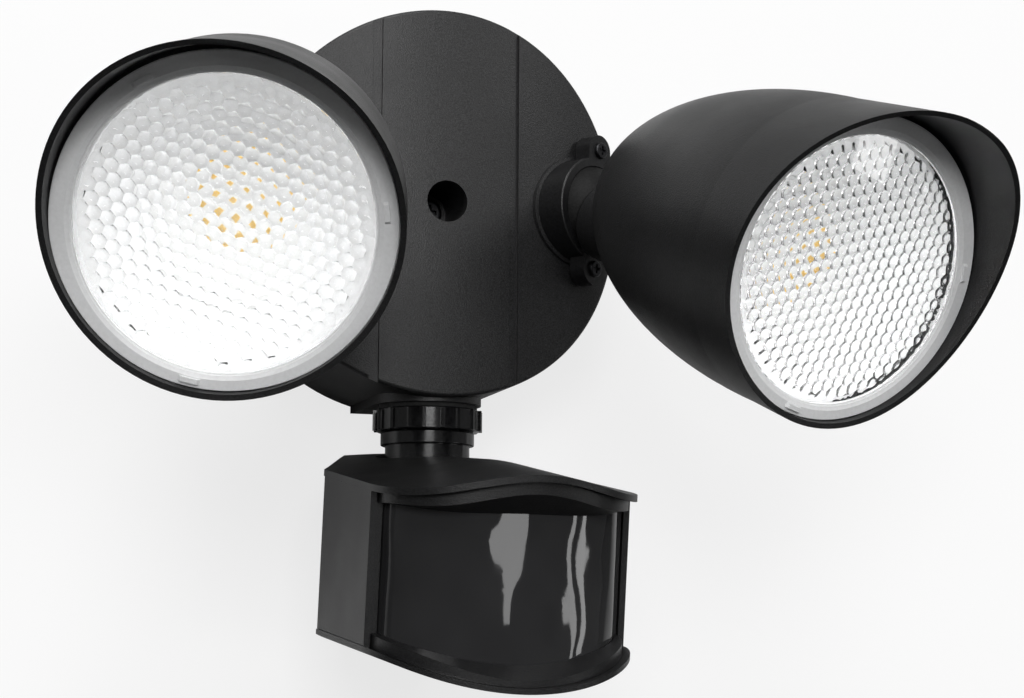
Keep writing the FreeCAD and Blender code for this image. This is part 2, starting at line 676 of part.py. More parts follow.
def head_shell(side, word):
    ball = ball_in_head(side)
    outer = shell_form(0, 0)
    pad = cylinder(PAD_R, vec(ball.x, ball.y, -PAD_BACK), vec(ball.x, ball.y, -PAD_BACK + PAD_DEPTH))
    hollow = shell_form(SHELL_WALL, HOOD_WALL)
    ledge_z = ring_seat_z()
    ledge = tube(SHELL_R, RING_R - LEDGE_W, vec(0, 0, ledge_z - LEDGE_T), vec(0, 0, ledge_z))
    hollow = hollow.cut(ledge.common(outer))
    for x, y in sink_screw_places():
        boss = cylinder(SINK_BOSS_R, vec(x, y, -SHELL_STRAIGHT - SHELL_NOSE), vec(x, y, SINK_Z - SINK_T))
        hollow = hollow.cut(boss)
    pad_inside = vec(ball.x, ball.y, -PAD_BACK + PAD_FLOOR)
    hollow = hollow.cut(cylinder(PAD_R + 1, vec(ball.x, ball.y, -PAD_BACK), pad_inside))
    shell = outer.fuse(pad).cut(hollow).cut(hood_cutter(word))
    shell = shell.cut(cylinder(RING_R + FIT_GAP, vec(0, 0, ledge_z), vec(0, 0, HOOD_BLANK)))
    inside = vec(ball.x, ball.y, -PAD_BACK + PAD_DEPTH)
    shell = shell.cut(cylinder(PAD_R - PAD_WALL, pad_inside, inside))
    shell = shell.cut(cylinder(SPIGOT_R + SCREW_GAP, vec(ball.x, ball.y, -PAD_BACK - 1), inside))
    for x, y in sink_screw_places():
        deep = vec(x, y, SINK_Z - SINK_T - SINK_SCREW_L)
        shell = shell.cut(cylinder(SINK_SCREW_R, deep, vec(x, y, SINK_Z - SINK_T)))
    return shell.removeSplitter()


def ball_stem(side):
    ball = ball_in_head(side)
    flange_back = -PAD_BACK - STEM_FLANGE_T
    axis_point = vec(ball.x, ball.y, -PAD_BACK)
    stem = Part.makeSphere(BALL_R, ball)
    stem = stem.fuse(cylinder(STEM_R, ball, axis_point))
    flange = cylinder(STEM_FLANGE_R, vec(ball.x, ball.y, flange_back), axis_point)
    rear_edge = [e for e in flange.Edges if e.BoundBox.ZMax < flange_back + STEM_FLANGE_T / 2]
    stem = stem.fuse(flange.makeFillet(STEM_FLANGE_EDGE, rear_edge))
    stem = stem.fuse(cylinder(SPIGOT_R, axis_point, vec(ball.x, ball.y, -PAD_BACK + SPIGOT_L)))
    bore = cylinder(WIRE_R, ball - vec(0, 0, BALL_R + 5), vec(ball.x, ball.y, -PAD_BACK + SPIGOT_L + 1))
    return stem.removeSplitter().cut(bore)


def stem_nut(side):
    ball = ball_in_head(side)
    z0 = -PAD_BACK + PAD_FLOOR
    corner = STEM_NUT_AF / math.sqrt(3)
    points = []
    for i in range(6):
        turn = math.radians(60 * i)
        points.append(vec(ball.x + corner * math.cos(turn), ball.y + corner * math.sin(turn), z0))
    nut = polygon(points).extrude(vec(0, 0, STEM_NUT_T))
    way = cylinder(SPIGOT_R + THREAD_GAP, vec(ball.x, ball.y, z0 - 1), vec(ball.x, ball.y, z0 + STEM_NUT_T + 1))
    return nut.cut(way)


def heat_sink():
    back_z = SINK_Z - SINK_T
    plate = cylinder(SINK_R, vec(0, 0, back_z), vec(0, 0, SINK_Z))
    for i in range(SINK_FINS):
        y = (i - (SINK_FINS - 1) / 2) * SINK_FIN_PITCH
        half = math.sqrt(SINK_FIN_EDGE_R ** 2 - y ** 2) - SINK_FIN_INSET
        fin = box(-half, half, y - SINK_FIN_T / 2, y + SINK_FIN_T / 2, back_z - SINK_FIN_L, back_z)
        plate = plate.fuse(fin)
    for x, y in sink_screw_places():
        plate = plate.cut(cylinder(SINK_SCREW_R + SCREW_GAP, vec(x, y, back_z - 1), vec(x, y, SINK_Z + 1)))
    return plate.removeSplitter()


def led_chips():
    z0 = SINK_Z + BOARD_T
    chips = []
    for i in range(CHIP_ROWS):
        for j in range(CHIP_ROWS):
            x = (i - (CHIP_ROWS - 1) / 2) * CHIP_PITCH
            y = (j - (CHIP_ROWS - 1) / 2) * CHIP_PITCH
            half = CHIP_SIZE / 2
            chip = box(x - half, x + half, y - half, y + half, z0, z0 + CHIP_T)
            chip.rotate(vec(0, 0, 0), vec(0, 0, 1), 45)
            chips.append(chip)
    return Part.makeCompound(chips)


def reflector():
    top_z = ring_seat_z() - REFLECTOR_RIM_GAP
    top_r = RING_R - LEDGE_W - GAP
    low_z = SINK_Z
    low_r = BOARD_R + GAP
    mid = vec((top_r + low_r) / 2 + BOWL_DEEP, 0, (top_z + low_z) / 2 - BOWL_DEEP)
    inner = arc(vec(low_r, 0, low_z), mid, vec(top_r - REFLECTOR_T, 0, top_z))
    outer = arc(vec(top_r, 0, top_z), mid + vec(REFLECTOR_T, 0, -REFLECTOR_T), vec(low_r + REFLECTOR_T, 0, low_z))
    edges = [inner, segment(vec(top_r - REFLECTOR_T, 0, top_z), vec(top_r, 0, top_z)), outer,
             segment(vec(low_r + REFLECTOR_T, 0, low_z), vec(low_r, 0, low_z))]
    return revolved(edges)


def head_lens():
    """A clear disc with a low crown and a thin land that the ring holds down."""
    land_top = -LENS_RING_T
    land_bottom = land_top - LENS_LAND
    clear_r = RING_IN_R - GAP
    edge_z = land_bottom + LENS_T
    crown_r = (clear_r ** 2 + LENS_CROWN ** 2) / (2 * LENS_CROWN)
    crown = Part.makeSphere(crown_r, vec(0, 0, edge_z + LENS_CROWN - crown_r))
    middle = cylinder(clear_r, vec(0, 0, land_bottom), vec(0, 0, edge_z + 2 * LENS_CROWN)).common(crown)
    land = cylinder(RING_R - LENS_SIDE_GAP, vec(0, 0, land_bottom), vec(0, 0, land_top))
    return middle.fuse(land)


def lens_ring():
    edge_r = RING_R - RING_EDGE_GAP
    ring = revolved_polygon([(RING_IN_R, -LENS_RING_T), (edge_r, -LENS_RING_T), (edge_r, 0),
                             (RING_IN_R + RING_BEVEL_W, 0), (RING_IN_R, -RING_BEVEL_T)])
    for angle in TAB_ANGLES:
        tab_r = RING_R - TAB_INSET
        tab = box(tab_r - TAB_W, tab_r, -TAB_L / 2, TAB_L / 2, -RING_EDGE_GAP, TAB_T)
        tab.rotate(vec(0, 0, 0), vec(0, 0, 1), angle)
        ring = ring.fuse(tab)
    return ring.removeSplitter()


def make_head(side, word):
    seat_z = ring_seat_z()
    gasket = tube(RING_R - SCREW_GAP, RING_R - LEDGE_W, vec(0, 0, seat_z), vec(0, 0, seat_z + GASKET_HEAD_T))
    board = cylinder(BOARD_R, vec(0, 0, SINK_Z), vec(0, 0, SINK_Z + BOARD_T))
    screws = []
    for x, y in sink_screw_places():
        screw = pan_screw(SINK_SCREW_R, SINK_HEAD_R, SINK_HEAD_T, SINK_T + SINK_SCREW_L - HOLE_PAST)
        screw.translate(vec(x, y, SINK_Z))
        screws.append(screw)
    pieces = {
        "head_shell": head_shell(side, word),
        "ball_stem": ball_stem(side),
        "stem_nut": stem_nut(side),
        "heat_sink": heat_sink(),
        "heat_sink_screws": Part.makeCompound(screws),
        "led_board": board,
        "led_chips": led_chips(),
        "reflector": reflector(),
        "lens": head_lens(),
        "lens_ring": lens_ring(),
        "lens_gasket": gasket,
    }
    for name, shape in pieces.items():
        save(name + "_" + word, in_head(shape, side, word))


# ---- neck and lock nut ------------------------------------------------------------------
def make_neck():
    centre = vec(0, NECK_Y, 0)

    def level(z):
        return vec(0, NECK_Y, z)
    save("neck_washer", tube(WASHER_R, THREAD_R + GAP, level(NUT_TOP_Z + FIT_GAP), level(PAD_Z)))
    nut = tube(NUT_R, THREAD_R + GAP, level(NUT_BOTTOM_Z), level(NUT_TOP_Z))
    outer_edges = [e for e in nut.Edges if e.Length > 2 * math.pi * NUT_R * 0.98 and e.BoundBox.ZLength < 0.01]
    nut = nut.makeFillet(NUT_EDGE, outer_edges)
    for i in range(NUT_RIBS):
        rib = box(-NUT_RIB_W / 2, NUT_RIB_W / 2, -NUT_R - NUT_RIB, -NUT_R + NUT_RIB_ROOT,
                  NUT_BOTTOM_Z + NUT_RIB_END, NUT_TOP_Z - NUT_RIB_END)
        rib.rotate(vec(0, 0, 0), vec(0, 0, 1), 360.0 * i / NUT_RIBS)
        rib.translate(centre)
        nut = nut.fuse(rib)
    save("swivel_nut", nut.removeSplitter())
    neck = cylinder(COLLAR_R, level(COLLAR_BOTTOM_Z), level(COLLAR_TOP_Z))
    neck = neck.makeFillet(COLLAR_EDGE, [e for e in neck.Edges if e.BoundBox.ZLength < 0.01])
    neck = neck.fuse(cylinder(NECK_R, level(TILT_Z), level(COLLAR_BOTTOM_Z)))
    neck = neck.fuse(cylinder(THREAD_R, level(COLLAR_TOP_Z), level(THREAD_TOP_Z)))
    neck = neck.fuse(Part.makeSphere(NECK_R, level(TILT_Z)))
    neck = neck.cut(cylinder(NECK_BORE_R, level(TILT_Z - NECK_R - 5), level(THREAD_TOP_Z + 1)))
    save("sensor_neck", neck.removeSplitter())
    clip_z = PAD_TOP_Z + GAP
    clip = tube(RETAINER_R, THREAD_R + THREAD_GAP, level(clip_z), level(clip_z + RETAINER_T))
    half = RETAINER_SLIT / 2
    slit = box(-half, half, NECK_Y, NECK_Y + RETAINER_R + 1, clip_z - 1, clip_z + RETAINER_T + 1)
    save("neck_retainer", clip.cut(slit))


# ---- sensor -----------------------------------------------------------------------------
def sensor_ball():
    """Where the neck's ball end is, in the sensor's own frame."""
    return vec(0, 0, -SENSOR_ABOVE_BALL)


def in_sensor(shape):
    """From the sensor's own frame to its place: pitched forward, then panned, under the neck."""
    pan = math.radians(SENSOR_PAN)
    pitch = math.radians(SENSOR_PITCH)
    x_axis = vec(math.cos(pan), math.sin(pan), 0)
    y_axis = vec(-math.sin(pan) * math.cos(pitch), math.cos(pan) * math.cos(pitch), math.sin(pitch))
    ball = sensor_ball()
    z_axis = x_axis.cross(y_axis)
    offset = x_axis * ball.x + y_axis * ball.y + z_axis * ball.z
    return placed(shape, vec(0, NECK_Y, TILT_Z) - offset, x_axis, y_axis, z_axis)


def sensor_plan(inset, z0=-FAR, z1=FAR):
    """The sensor's plan as a prism: curved front, straight sides, back sloping in."""
    half = SENSOR_HALF_W - inset
    bulge = SENSOR_BULGE - inset
    left = vec(-half, SENSOR_FRONT_Y, z0)
    right = vec(half, SENSOR_FRONT_Y, z0)
    front = half_ellipse(half, bulge, SENSOR_FRONT_Y, z0)
    corner_y = SENSOR_CORNER_Y
    back_y = SENSOR_BACK_Y - inset
    back_half = SENSOR_BACK_HALF_W - inset
    points = [right, vec(half, corner_y, z0), vec(back_half, back_y, z0), vec(-back_half, back_y, z0),
              vec(-half, corner_y, z0), left]
    edges = [front]
    for start, end in zip(points, points[1:]):
        edges.append(segment(start, end))
    return face_of(edges).extrude(vec(0, 0, z1 - z0))


def half_ellipse(half_w, bulge, centre_y, z):
    """The front half of an ellipse about (0, centre_y), from the left side to the right."""
    centre = vec(0, centre_y, z)
    if half_w >= bulge:
        ellipse = Part.Ellipse(centre + vec(half_w, 0, 0), centre + vec(0, -bulge, 0), centre)
        first = 0.0
    else:
        ellipse = Part.Ellipse(centre + vec(0, -bulge, 0), centre + vec(half_w, 0, 0), centre)
        first = -math.pi / 2
    curve = Part.Arc(ellipse, first, first + math.pi).toShape()
    if curve.valueAt((curve.FirstParameter + curve.LastParameter) / 2).y > centre_y:
        curve = Part.Arc(ellipse, first + math.pi, first + 2 * math.pi).toShape()
    return curve


def arch_points(half, edge_z, rise, y):
    """An arch that starts and ends level: edge_z + rise * cos^2 across the width."""
    count = 13
    points = []
    for i in range(count):
        x = -half + 2 * half * i / (count - 1)
        points.append(vec(x, y, edge_z + rise * math.cos(math.pi * x / (2 * half)) ** 2))
    return points


def arch_section(half, y, upper_z, upper_rise, lower_z, lower_rise):
    """A closed outline at one y: an arch above, an arch below, and straight ends."""
    upper = spline(arch_points(half, upper_z, upper_rise, y))
    lower = spline(arch_points(half, lower_z, lower_rise, y))
    left = segment(vec(-half, y, lower_z), vec(-half, y, upper_z))
    right = segment(vec(half, y, upper_z), vec(half, y, lower_z))
    return Part.Wire([left, upper, right, lower])


def top_slab(drop, thick):
    """The layer under the sensor's arched top face, from drop to drop + thick below it."""
    stations = ((SENSOR_FRONT_Y - SENSOR_BULGE - 1, TOP_FRONT_RISE), (TOP_MID_Y, TOP_MID_RISE),
                (SENSOR_BACK_Y + 1, TOP_BACK_RISE))
    sections = []
    for y, rise in stations:
        upper = TOP_EDGE_Z + TOP_EDGE_SLOPE * (y - SENSOR_FRONT_Y) - drop
        sections.append(arch_section(SENSOR_HALF_W + 1.0, y, upper, rise, upper - thick, rise))
    return Part.makeLoft(sections, True, True)


def floor_slab(lift, thick):
    """The layer above the sensor's curved underside, from lift to lift + thick above it."""
    half = SENSOR_HALF_W + 1.0
    low = FLOOR_EDGE_Z + lift
    front_y = SENSOR_FRONT_Y - SENSOR_BULGE - 1
    lower = arc(vec(-half, front_y, low), vec(0, front_y, low - FLOOR_DROP), vec(half, front_y, low))
    upper = arc(vec(-half, front_y, low + thick), vec(0, front_y, low + thick - FLOOR_DROP),
                vec(half, front_y, low + thick))
    ends = [segment(vec(-half, front_y, low), vec(-half, front_y, low + thick)),
            segment(vec(half, front_y, low), vec(half, front_y, low + thick))]
    face = face_of([lower, ends[1], upper, ends[0]])
    return face.extrude(vec(0, SENSOR_BACK_Y + 1 - front_y, 0))


def window_block(inset, back_y):
    """All behind the window's outer face, as far back as back_y."""
    half = WINDOW_HALF_W - inset
    curve = half_ellipse(half, WINDOW_BULGE - inset, SENSOR_FRONT_Y, -FAR)
    points = [vec(half, SENSOR_FRONT_Y, -FAR), vec(half, back_y, -FAR), vec(-half, back_y, -FAR),
              vec(-half, SENSOR_FRONT_Y, -FAR)]
    edges = [curve]
    for start, end in zip(points, points[1:]):
        edges.append(segment(start, end))
    return face_of(edges).extrude(vec(0, 0, 2 * FAR))


def window_opening():
    """The space between the slanted lips in front of the window, open at both sides."""
    back_y = SENSOR_FRONT_Y
    front_y = SENSOR_FRONT_Y - SENSOR_BULGE - 1
    half = SENSOR_HALF_W
    sections = []
    top_b = WINDOW_TOP_Z
    low_b = WINDOW_BOTTOM_Z
    top_f = TOP_EDGE_Z - TOP_EDGE_SLOPE * SENSOR_BULGE - LIP_TOP_EDGE
    low_f = FLOOR_EDGE_Z + LIP_BOTTOM_EDGE
    for y, top, rise, low, drop in (
            (back_y, top_b, -WINDOW_TOP_DIP, low_b, LIP_END_DROP),
            (front_y, top_f, LIP_TOP_RISE, low_f, LIP_END_DROP - FLOOR_DROP)):
        upper = spline(arch_points(half, top, rise, y))
        lower = spline([vec(-half + 2 * half * i / 8, y, low + drop * (1 - (-1 + i / 4) ** 2)) for i in range(9)])
        left = segment(vec(-half, y, low), vec(-half, y, top))
        right = segment(vec(half, y, top), vec(half, y, low))
        sections.append(Part.Wire([left, upper, right, lower]))
    return Part.makeLoft(sections, True, True)


def sensor_screw_places():
    for x in (-SENSOR_SCREW_X, SENSOR_SCREW_X):
        for y in SENSOR_SCREW_YS:
            yield x, y


def floor_underside_z(x):
    """Height of the sensor's curved underside at a distance x from its middle."""
    radius = (SENSOR_HALF_W ** 2 + FLOOR_DROP ** 2) / (2 * FLOOR_DROP)
    return FLOOR_EDGE_Z - FLOOR_DROP + radius - math.sqrt(radius ** 2 - x ** 2)


def make_sensor():
    above_floor = floor_slab(FLOOR_T + FIT_GAP, FAR)
    below_top = top_slab(TOP_T + FIT_GAP, FAR)
    between_covers = above_floor.common(below_top)
    solid_body = sensor_plan(BODY_INSET).common(between_covers)
    wall_end_y = SENSOR_FRONT_Y - SIDE_WALL_PAST
    split_y = SENSOR_FRONT_Y + BEZEL_BACK
    housing = solid_body.cut(sensor_plan(BODY_INSET + SENSOR_WALL))
    housing = housing.common(box(-FAR, FAR, wall_end_y, FAR, -FAR, FAR))
    bezel = sensor_plan(BODY_INSET + SENSOR_WALL + GAP).common(between_covers)
    bezel = bezel.common(box(-FAR, FAR, -FAR, split_y, -FAR, FAR))
    bezel = bezel.cut(window_opening()).cut(window_block(-GAP, FAR))
    window = window_block(0, split_y).cut(window_block(WINDOW_T, FAR))
    window = window.common(floor_slab(FLOOR_T + GAP, FAR)).common(top_slab(TOP_T + GAP, FAR))
    top = sensor_plan(0).common(top_slab(0, TOP_T))
    top = top.cut(cylinder(NECK_HOLE_R, vec(0, 0, -FAR), vec(0, 0, FAR)))
    floor = sensor_plan(0).common(floor_slab(0, FLOOR_T))

    screws = []
    wall_x = SENSOR_HALF_W - BODY_INSET
    for x, y in sensor_screw_places():
        seat_z = floor_underside_z(abs(x) + SENSOR_HEAD_R) + SENSOR_HEAD_T
        pad_z = seat_z + SCREW_PAD_T
        tip_z = seat_z + SENSOR_SCREW_L
        low = vec(x, y, -FAR)
        boss = cylinder(SENSOR_BOSS_R, vec(x, y, pad_z), vec(x, y, tip_z + SENSOR_BOSS_R))
        reach = math.copysign(wall_x, x)
        web = box(min(x, reach), max(x, reach), y - SENSOR_SCREW_R, y + SENSOR_SCREW_R,
                  pad_z, tip_z + SENSOR_BOSS_R)
        housing = housing.fuse(boss.fuse(web).common(solid_body))
        housing = housing.cut(cylinder(SCREW_PAD_R + FIT_GAP, low, vec(x, y, pad_z + FIT_GAP)))
        housing = housing.cut(cylinder(SENSOR_SCREW_R, vec(x, y, pad_z), vec(x, y, tip_z + 1)))
        floor = floor.fuse(cylinder(SCREW_PAD_R, low, vec(x, y, pad_z)).common(floor_slab(0, FAR)))
        floor = floor.cut(cylinder(SENSOR_HEAD_R + SCREW_GAP, low, vec(x, y, seat_z)))
        floor = floor.cut(cylinder(SENSOR_SCREW_R + SCREW_GAP, low, vec(x, y, pad_z + 1)))
        screw = pan_screw(SENSOR_SCREW_R, SENSOR_HEAD_R, SENSOR_HEAD_T, SENSOR_SCREW_L)
        screws.append(placed(screw, vec(x, y, seat_z), vec(1, 0, 0), vec(0, -1, 0), vec(0, 0, -1)))

    board_half = SENSOR_BOARD_W / 2
    board_top_z = SENSOR_BOARD_Z + SENSOR_BOARD_H
    board_back_y = SENSOR_BOARD_Y + SENSOR_BOARD_T
    board = box(-board_half, board_half, SENSOR_BOARD_Y, board_back_y, SENSOR_BOARD_Z, board_top_z)
    for sign in (-1, 1):
        ends = sorted((sign * (board_half - RAIL_LAP), sign * wall_x))
        rail = box(ends[0], ends[1], board_back_y, board_back_y + RAIL_T, SENSOR_BOARD_Z, board_top_z)
        housing = housing.fuse(rail)
    mid_z = (SENSOR_BOARD_Z + board_top_z) / 2
    detector = cylinder(DETECTOR_R, vec(0, SENSOR_BOARD_Y, mid_z), vec(0, SENSOR_BOARD_Y - DETECTOR_T, mid_z))
    rim = [e for e in detector.Edges if e.BoundBox.YMax < SENSOR_BOARD_Y - DETECTOR_T / 2]
    cell = cylinder(CELL_R, vec(CELL_X, SENSOR_BOARD_Y, mid_z), vec(CELL_X, SENSOR_BOARD_Y - CELL_T, mid_z))

    dials = {}
    for name, x in (("time_dial", -DIAL_X), ("light_dial", DIAL_X)):
        low = floor_underside_z(DIAL_X + DIAL_R)
        dial = cylinder(DIAL_R, vec(x, DIAL_Y, low), vec(x, DIAL_Y, low + DIAL_DEEP))
        slot_half = DIAL_R * 0.75
        slot = box(x - DIAL_SLOT / 2, x + DIAL_SLOT / 2, DIAL_Y - slot_half, DIAL_Y + slot_half,
                   low - 1, low + DIAL_SLOT)
        stem_end = vec(x, DIAL_Y, low + DIAL_DEEP + DIAL_STEM_L)
        dials[name] = dial.cut(slot).fuse(cylinder(DIAL_R * 0.4, vec(x, DIAL_Y, low + DIAL_SLOT + 1), stem_end))
        floor = floor.cut(cylinder(DIAL_R + GAP, vec(x, DIAL_Y, -FAR), vec(x, DIAL_Y, FAR)))

    pieces = {
        "sensor_housing": housing.removeSplitter(),
        "sensor_bezel": bezel.removeSplitter(),
        "sensor_window": window,
        "sensor_top_cover": top,
        "sensor_bottom_cover": floor,
        "sensor_seat": sensor_seat(),
        "sensor_board": board,
        "infrared_detector": detector.makeFillet(DETECTOR_EDGE, rim),
        "daylight_cell": cell,
        "sensor_screws": Part.makeCompound(screws),
    }
    pieces.update(dials)
    for name, shape in pieces.items():
        save(name, in_sensor(shape))


def sensor_seat():
    """The cup under the top cover that holds the neck's ball end."""
    ball = sensor_ball()
    up = vec(0, 0, 1)
    space_r = NECK_R + GAP
    cup = cylinder(space_r + SEAT_WALL, ball - up * SEAT_H, ball + up * FAR)
    cup = cup.common(top_slab(TOP_T + FIT_GAP, FAR)).cut(Part.makeSphere(space_r, ball))
    cup = cup.cut(cylinder(NECK_R - SEAT_LIP, ball - up * FAR, ball))
    cup = cup.cut(cylinder(space_r + SEAT_WALL / 2, ball, ball + up * FAR))
    return cup.cut(Part.makeCone(space_r, space_r + SEAT_WALL + 1, SEAT_H, ball, up))


# ---- the whole light --------------------------------------------------------------------
make_canopy()
make_driver()
for side_sign, side_word in ((-1, "left"), (1, "right")):
    make_socket(side_sign, side_word)
    make_head(side_sign, side_word)
make_neck()
make_sensor()

for node_name, node_shape in NODES.items():
    node_shape.exportStep("parts/" + node_name + ".step")
    solids = node_shape.Solids
    valid = all(s.isValid() for s in solids)
    print(node_name, "solids", len(solids), "volume", round(node_shape.Volume, 1), "valid", valid)
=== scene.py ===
import math

import bmesh
import bpy
import numpy as np
from mathutils import Matrix, Vector


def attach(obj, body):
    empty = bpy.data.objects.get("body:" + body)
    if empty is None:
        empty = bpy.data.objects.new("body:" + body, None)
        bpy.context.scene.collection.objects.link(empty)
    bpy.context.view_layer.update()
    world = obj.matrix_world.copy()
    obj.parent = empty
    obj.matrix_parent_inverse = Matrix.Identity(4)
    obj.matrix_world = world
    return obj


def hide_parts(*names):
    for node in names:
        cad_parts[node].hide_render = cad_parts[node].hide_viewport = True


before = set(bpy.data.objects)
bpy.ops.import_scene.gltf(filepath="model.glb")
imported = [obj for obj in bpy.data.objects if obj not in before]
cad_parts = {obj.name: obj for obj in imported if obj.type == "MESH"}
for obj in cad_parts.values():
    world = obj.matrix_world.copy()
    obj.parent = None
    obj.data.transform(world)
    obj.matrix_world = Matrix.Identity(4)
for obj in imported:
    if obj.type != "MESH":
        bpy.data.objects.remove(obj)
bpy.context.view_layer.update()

# ---- camera -----------------------------------------------------------------------------
# The photograph's camera stands left of the light and a little below it, looking up at it.
# Its place was fitted to the canopy, the lens rings, the nut and the grooves. It has a long lens.
AIM = Vector((0.03025, -0.030, -0.04401))
CAMERA_AWAY = 0.70716
CAMERA_LEFT = math.radians(19.0)
CAMERA_BELOW = math.radians(7.44)
CAMERA_ROLL = math.radians(0.33)
CAMERA_LENS = 74.13

towards_camera = Vector((-math.sin(CAMERA_LEFT) * math.cos(CAMERA_BELOW),
                         -math.cos(CAMERA_LEFT) * math.cos(CAMERA_BELOW), -math.sin(CAMERA_BELOW)))
level = (-towards_camera).cross(Vector((0, 0, 1))).normalized()
upright = level.cross(-towards_camera)
camera_x = level * math.cos(CAMERA_ROLL) + upright * math.sin(CAMERA_ROLL)
camera_y = upright * math.cos(CAMERA_ROLL) - level * math.sin(CAMERA_ROLL)
camera_data = bpy.data.cameras.new("camera")
camera_data.lens = CAMERA_LENS
camera_data.sensor_width = 36.0
camera_data.clip_start = 0.01
camera_data.clip_end = 20.0
camera = bpy.data.objects.new("camera", camera_data)
bpy.context.scene.collection.objects.link(camera)
turn = Matrix((camera_x, camera_y, towards_camera)).transposed().to_4x4()
camera.matrix_world = Matrix.Translation(AIM + towards_camera * CAMERA_AWAY) @ turn
bpy.context.scene.camera = camera
bpy.context.scene.view_settings.view_transform = "Standard"


# ---- wall and studio light --------------------------------------------------------------
# The light hangs on a plain white wall, which curves out into a floor far below it. A large soft
# lamp shines from above, weaker ones from the front left and the upper right, three small ones
# low on the right, where the window mirrors them, and a last one from behind, on the back alone.
def mesh_piece(name, points, faces):
    """An object at the origin, whose mesh has these points and faces."""
    mesh = bpy.data.meshes.new(name)
    mesh.from_pydata(points.tolist(), [], faces)
    mesh.update()
    piece = bpy.data.objects.new(name, mesh)
    bpy.context.scene.collection.objects.link(piece)
    return piece


def smooth_faces(mesh):
    """Marks all faces of a mesh as smooth."""
    mesh.polygons.foreach_set("use_smooth", np.ones(len(mesh.polygons), dtype=bool))
    mesh.update()


def surface_from_grid(name, points, close_u=False, close_v=False):
    """A smooth mesh of quads over a grid of points, whose shape is (rows, columns, 3)."""
    rows, columns = points.shape[:2]
    index = np.arange(rows * columns).reshape(rows, columns)
    if close_u:
        index = np.vstack([index, index[:1]])
    if close_v:
        index = np.hstack([index, index[:, :1]])
    quads = np.stack([index[:-1, :-1], index[:-1, 1:], index[1:, 1:], index[1:, :-1]], axis=-1)
    surface = mesh_piece(name, points.reshape(-1, 3), quads.reshape(-1, 4).tolist())
    smooth_faces(surface.data)
    return surface


def new_material(name, colour, roughness, metallic=0.0):
    """A material with one Principled shader: returns the material, its node tree and the shader."""
    material = bpy.data.materials.new(name)
    material.use_nodes = True
    tree = material.node_tree
    shader = tree.nodes["Principled BSDF"]
    shader.inputs["Base Color"].default_value = (*colour, 1.0)
    shader.inputs["Roughness"].default_value = roughness
    shader.inputs["Metallic"].default_value = metallic
    return material, tree, shader


WALL_WHITE = 0.93
WALL_SHOWN_SHARE = 0.76
WALL_NEAR, WALL_NEAR_TONE = 0.22, 0.80
WALL_FAR, WALL_FAR_TONE = 0.50, 0.08


def wall_material():
    """White wall: lit by the lamps, with part of its white shown straight to the camera.

    To all other rays but those through clear plastic it is white near the object and dark further
    off, like a small studio sweep, so that it doesn't light the black pieces from the sides. Its
    tone falls in a straight line from WALL_NEAR_TONE to WALL_FAR_TONE between the distances
    WALL_NEAR and WALL_FAR from the origin. From behind it isn't there, so that the light's back
    can be seen.
    """
    material, tree, shader = new_material("white_wall", (WALL_WHITE, WALL_WHITE, WALL_WHITE), 0.9)
    shader.inputs["Specular IOR Level"].default_value = 0.0
    nodes, links = tree.nodes, tree.links
    paths = nodes.new("ShaderNodeLightPath")
    seen = nodes.new("ShaderNodeMath")
    seen.operation = "MAXIMUM"
    links.new(paths.outputs["Is Camera Ray"], seen.inputs[0])
    links.new(paths.outputs["Is Transmission Ray"], seen.inputs[1])
    place = nodes.new("ShaderNodeTexCoord")
    distance = nodes.new("ShaderNodeVectorMath")
    distance.operation = "LENGTH"
    links.new(place.outputs["Object"], distance.inputs[0])
    fade = nodes.new("ShaderNodeMapRange")
    fade.inputs["From Min"].default_value = WALL_NEAR
    fade.inputs["From Max"].default_value = WALL_FAR
    fade.inputs["To Min"].default_value = WALL_NEAR_TONE
    fade.inputs["To Max"].default_value = WALL_FAR_TONE
    links.new(distance.outputs["Value"], fade.inputs["Value"])
    tone = nodes.new("ShaderNodeMapRange")
    tone.inputs["To Max"].default_value = WALL_WHITE
    links.new(seen.outputs[0], tone.inputs["Value"])
    links.new(fade.outputs["Result"], tone.inputs["To Min"])
    links.new(tone.outputs["Result"], shader.inputs["Base Color"])
    share = nodes.new("ShaderNodeMath")
    share.operation = "MULTIPLY"
    share.inputs[1].default_value = WALL_SHOWN_SHARE
    links.new(seen.outputs[0], share.inputs[0])
    white = nodes.new("ShaderNodeEmission")
    white.inputs["Strength"].default_value = 1.0
    mix = nodes.new("ShaderNodeMixShader")
    links.new(share.outputs[0], mix.inputs[0])
    links.new(shader.outputs[0], mix.inputs[1])
    links.new(white.outputs[0], mix.inputs[2])
    sides = nodes.new("ShaderNodeNewGeometry")
    nothing = nodes.new("ShaderNodeBsdfTransparent")
    one_sided = nodes.new("ShaderNodeMixShader")
    links.new(sides.outputs["Backfacing"], one_sided.inputs[0])
    links.new(mix.outputs[0], one_sided.inputs[1])
    links.new(nothing.outputs[0], one_sided.inputs[2])
    links.new(one_sided.outputs[0], nodes["Material Output"].inputs["Surface"])
    return material


WALL_GAP = 0.0006
WALL_HALF = 3.0
WALL_TOP_Z = 2.0
COVE_R = 0.5
COVE_STEPS = 24
FLOOR_Z = -0.9
FLOOR_EDGE_Y = -3.0
across = np.linspace(-WALL_HALF, WALL_HALF, 3)
bend = np.linspace(0, np.pi / 2, COVE_STEPS)
wall_y = np.concatenate([[0.0], COVE_R * (np.cos(bend) - 1), [FLOOR_EDGE_Y]]) + WALL_GAP
wall_z = np.concatenate([[WALL_TOP_Z], FLOOR_Z + COVE_R * (1 - np.sin(bend)), [FLOOR_Z]])
wall_rows = np.broadcast_arrays(across[None, :], wall_y[:, None], wall_z[:, None])
wall = surface_from_grid("wall_and_floor", np.stack(wall_rows, axis=-1)[::-1])
wall.data.materials.append(wall_material())


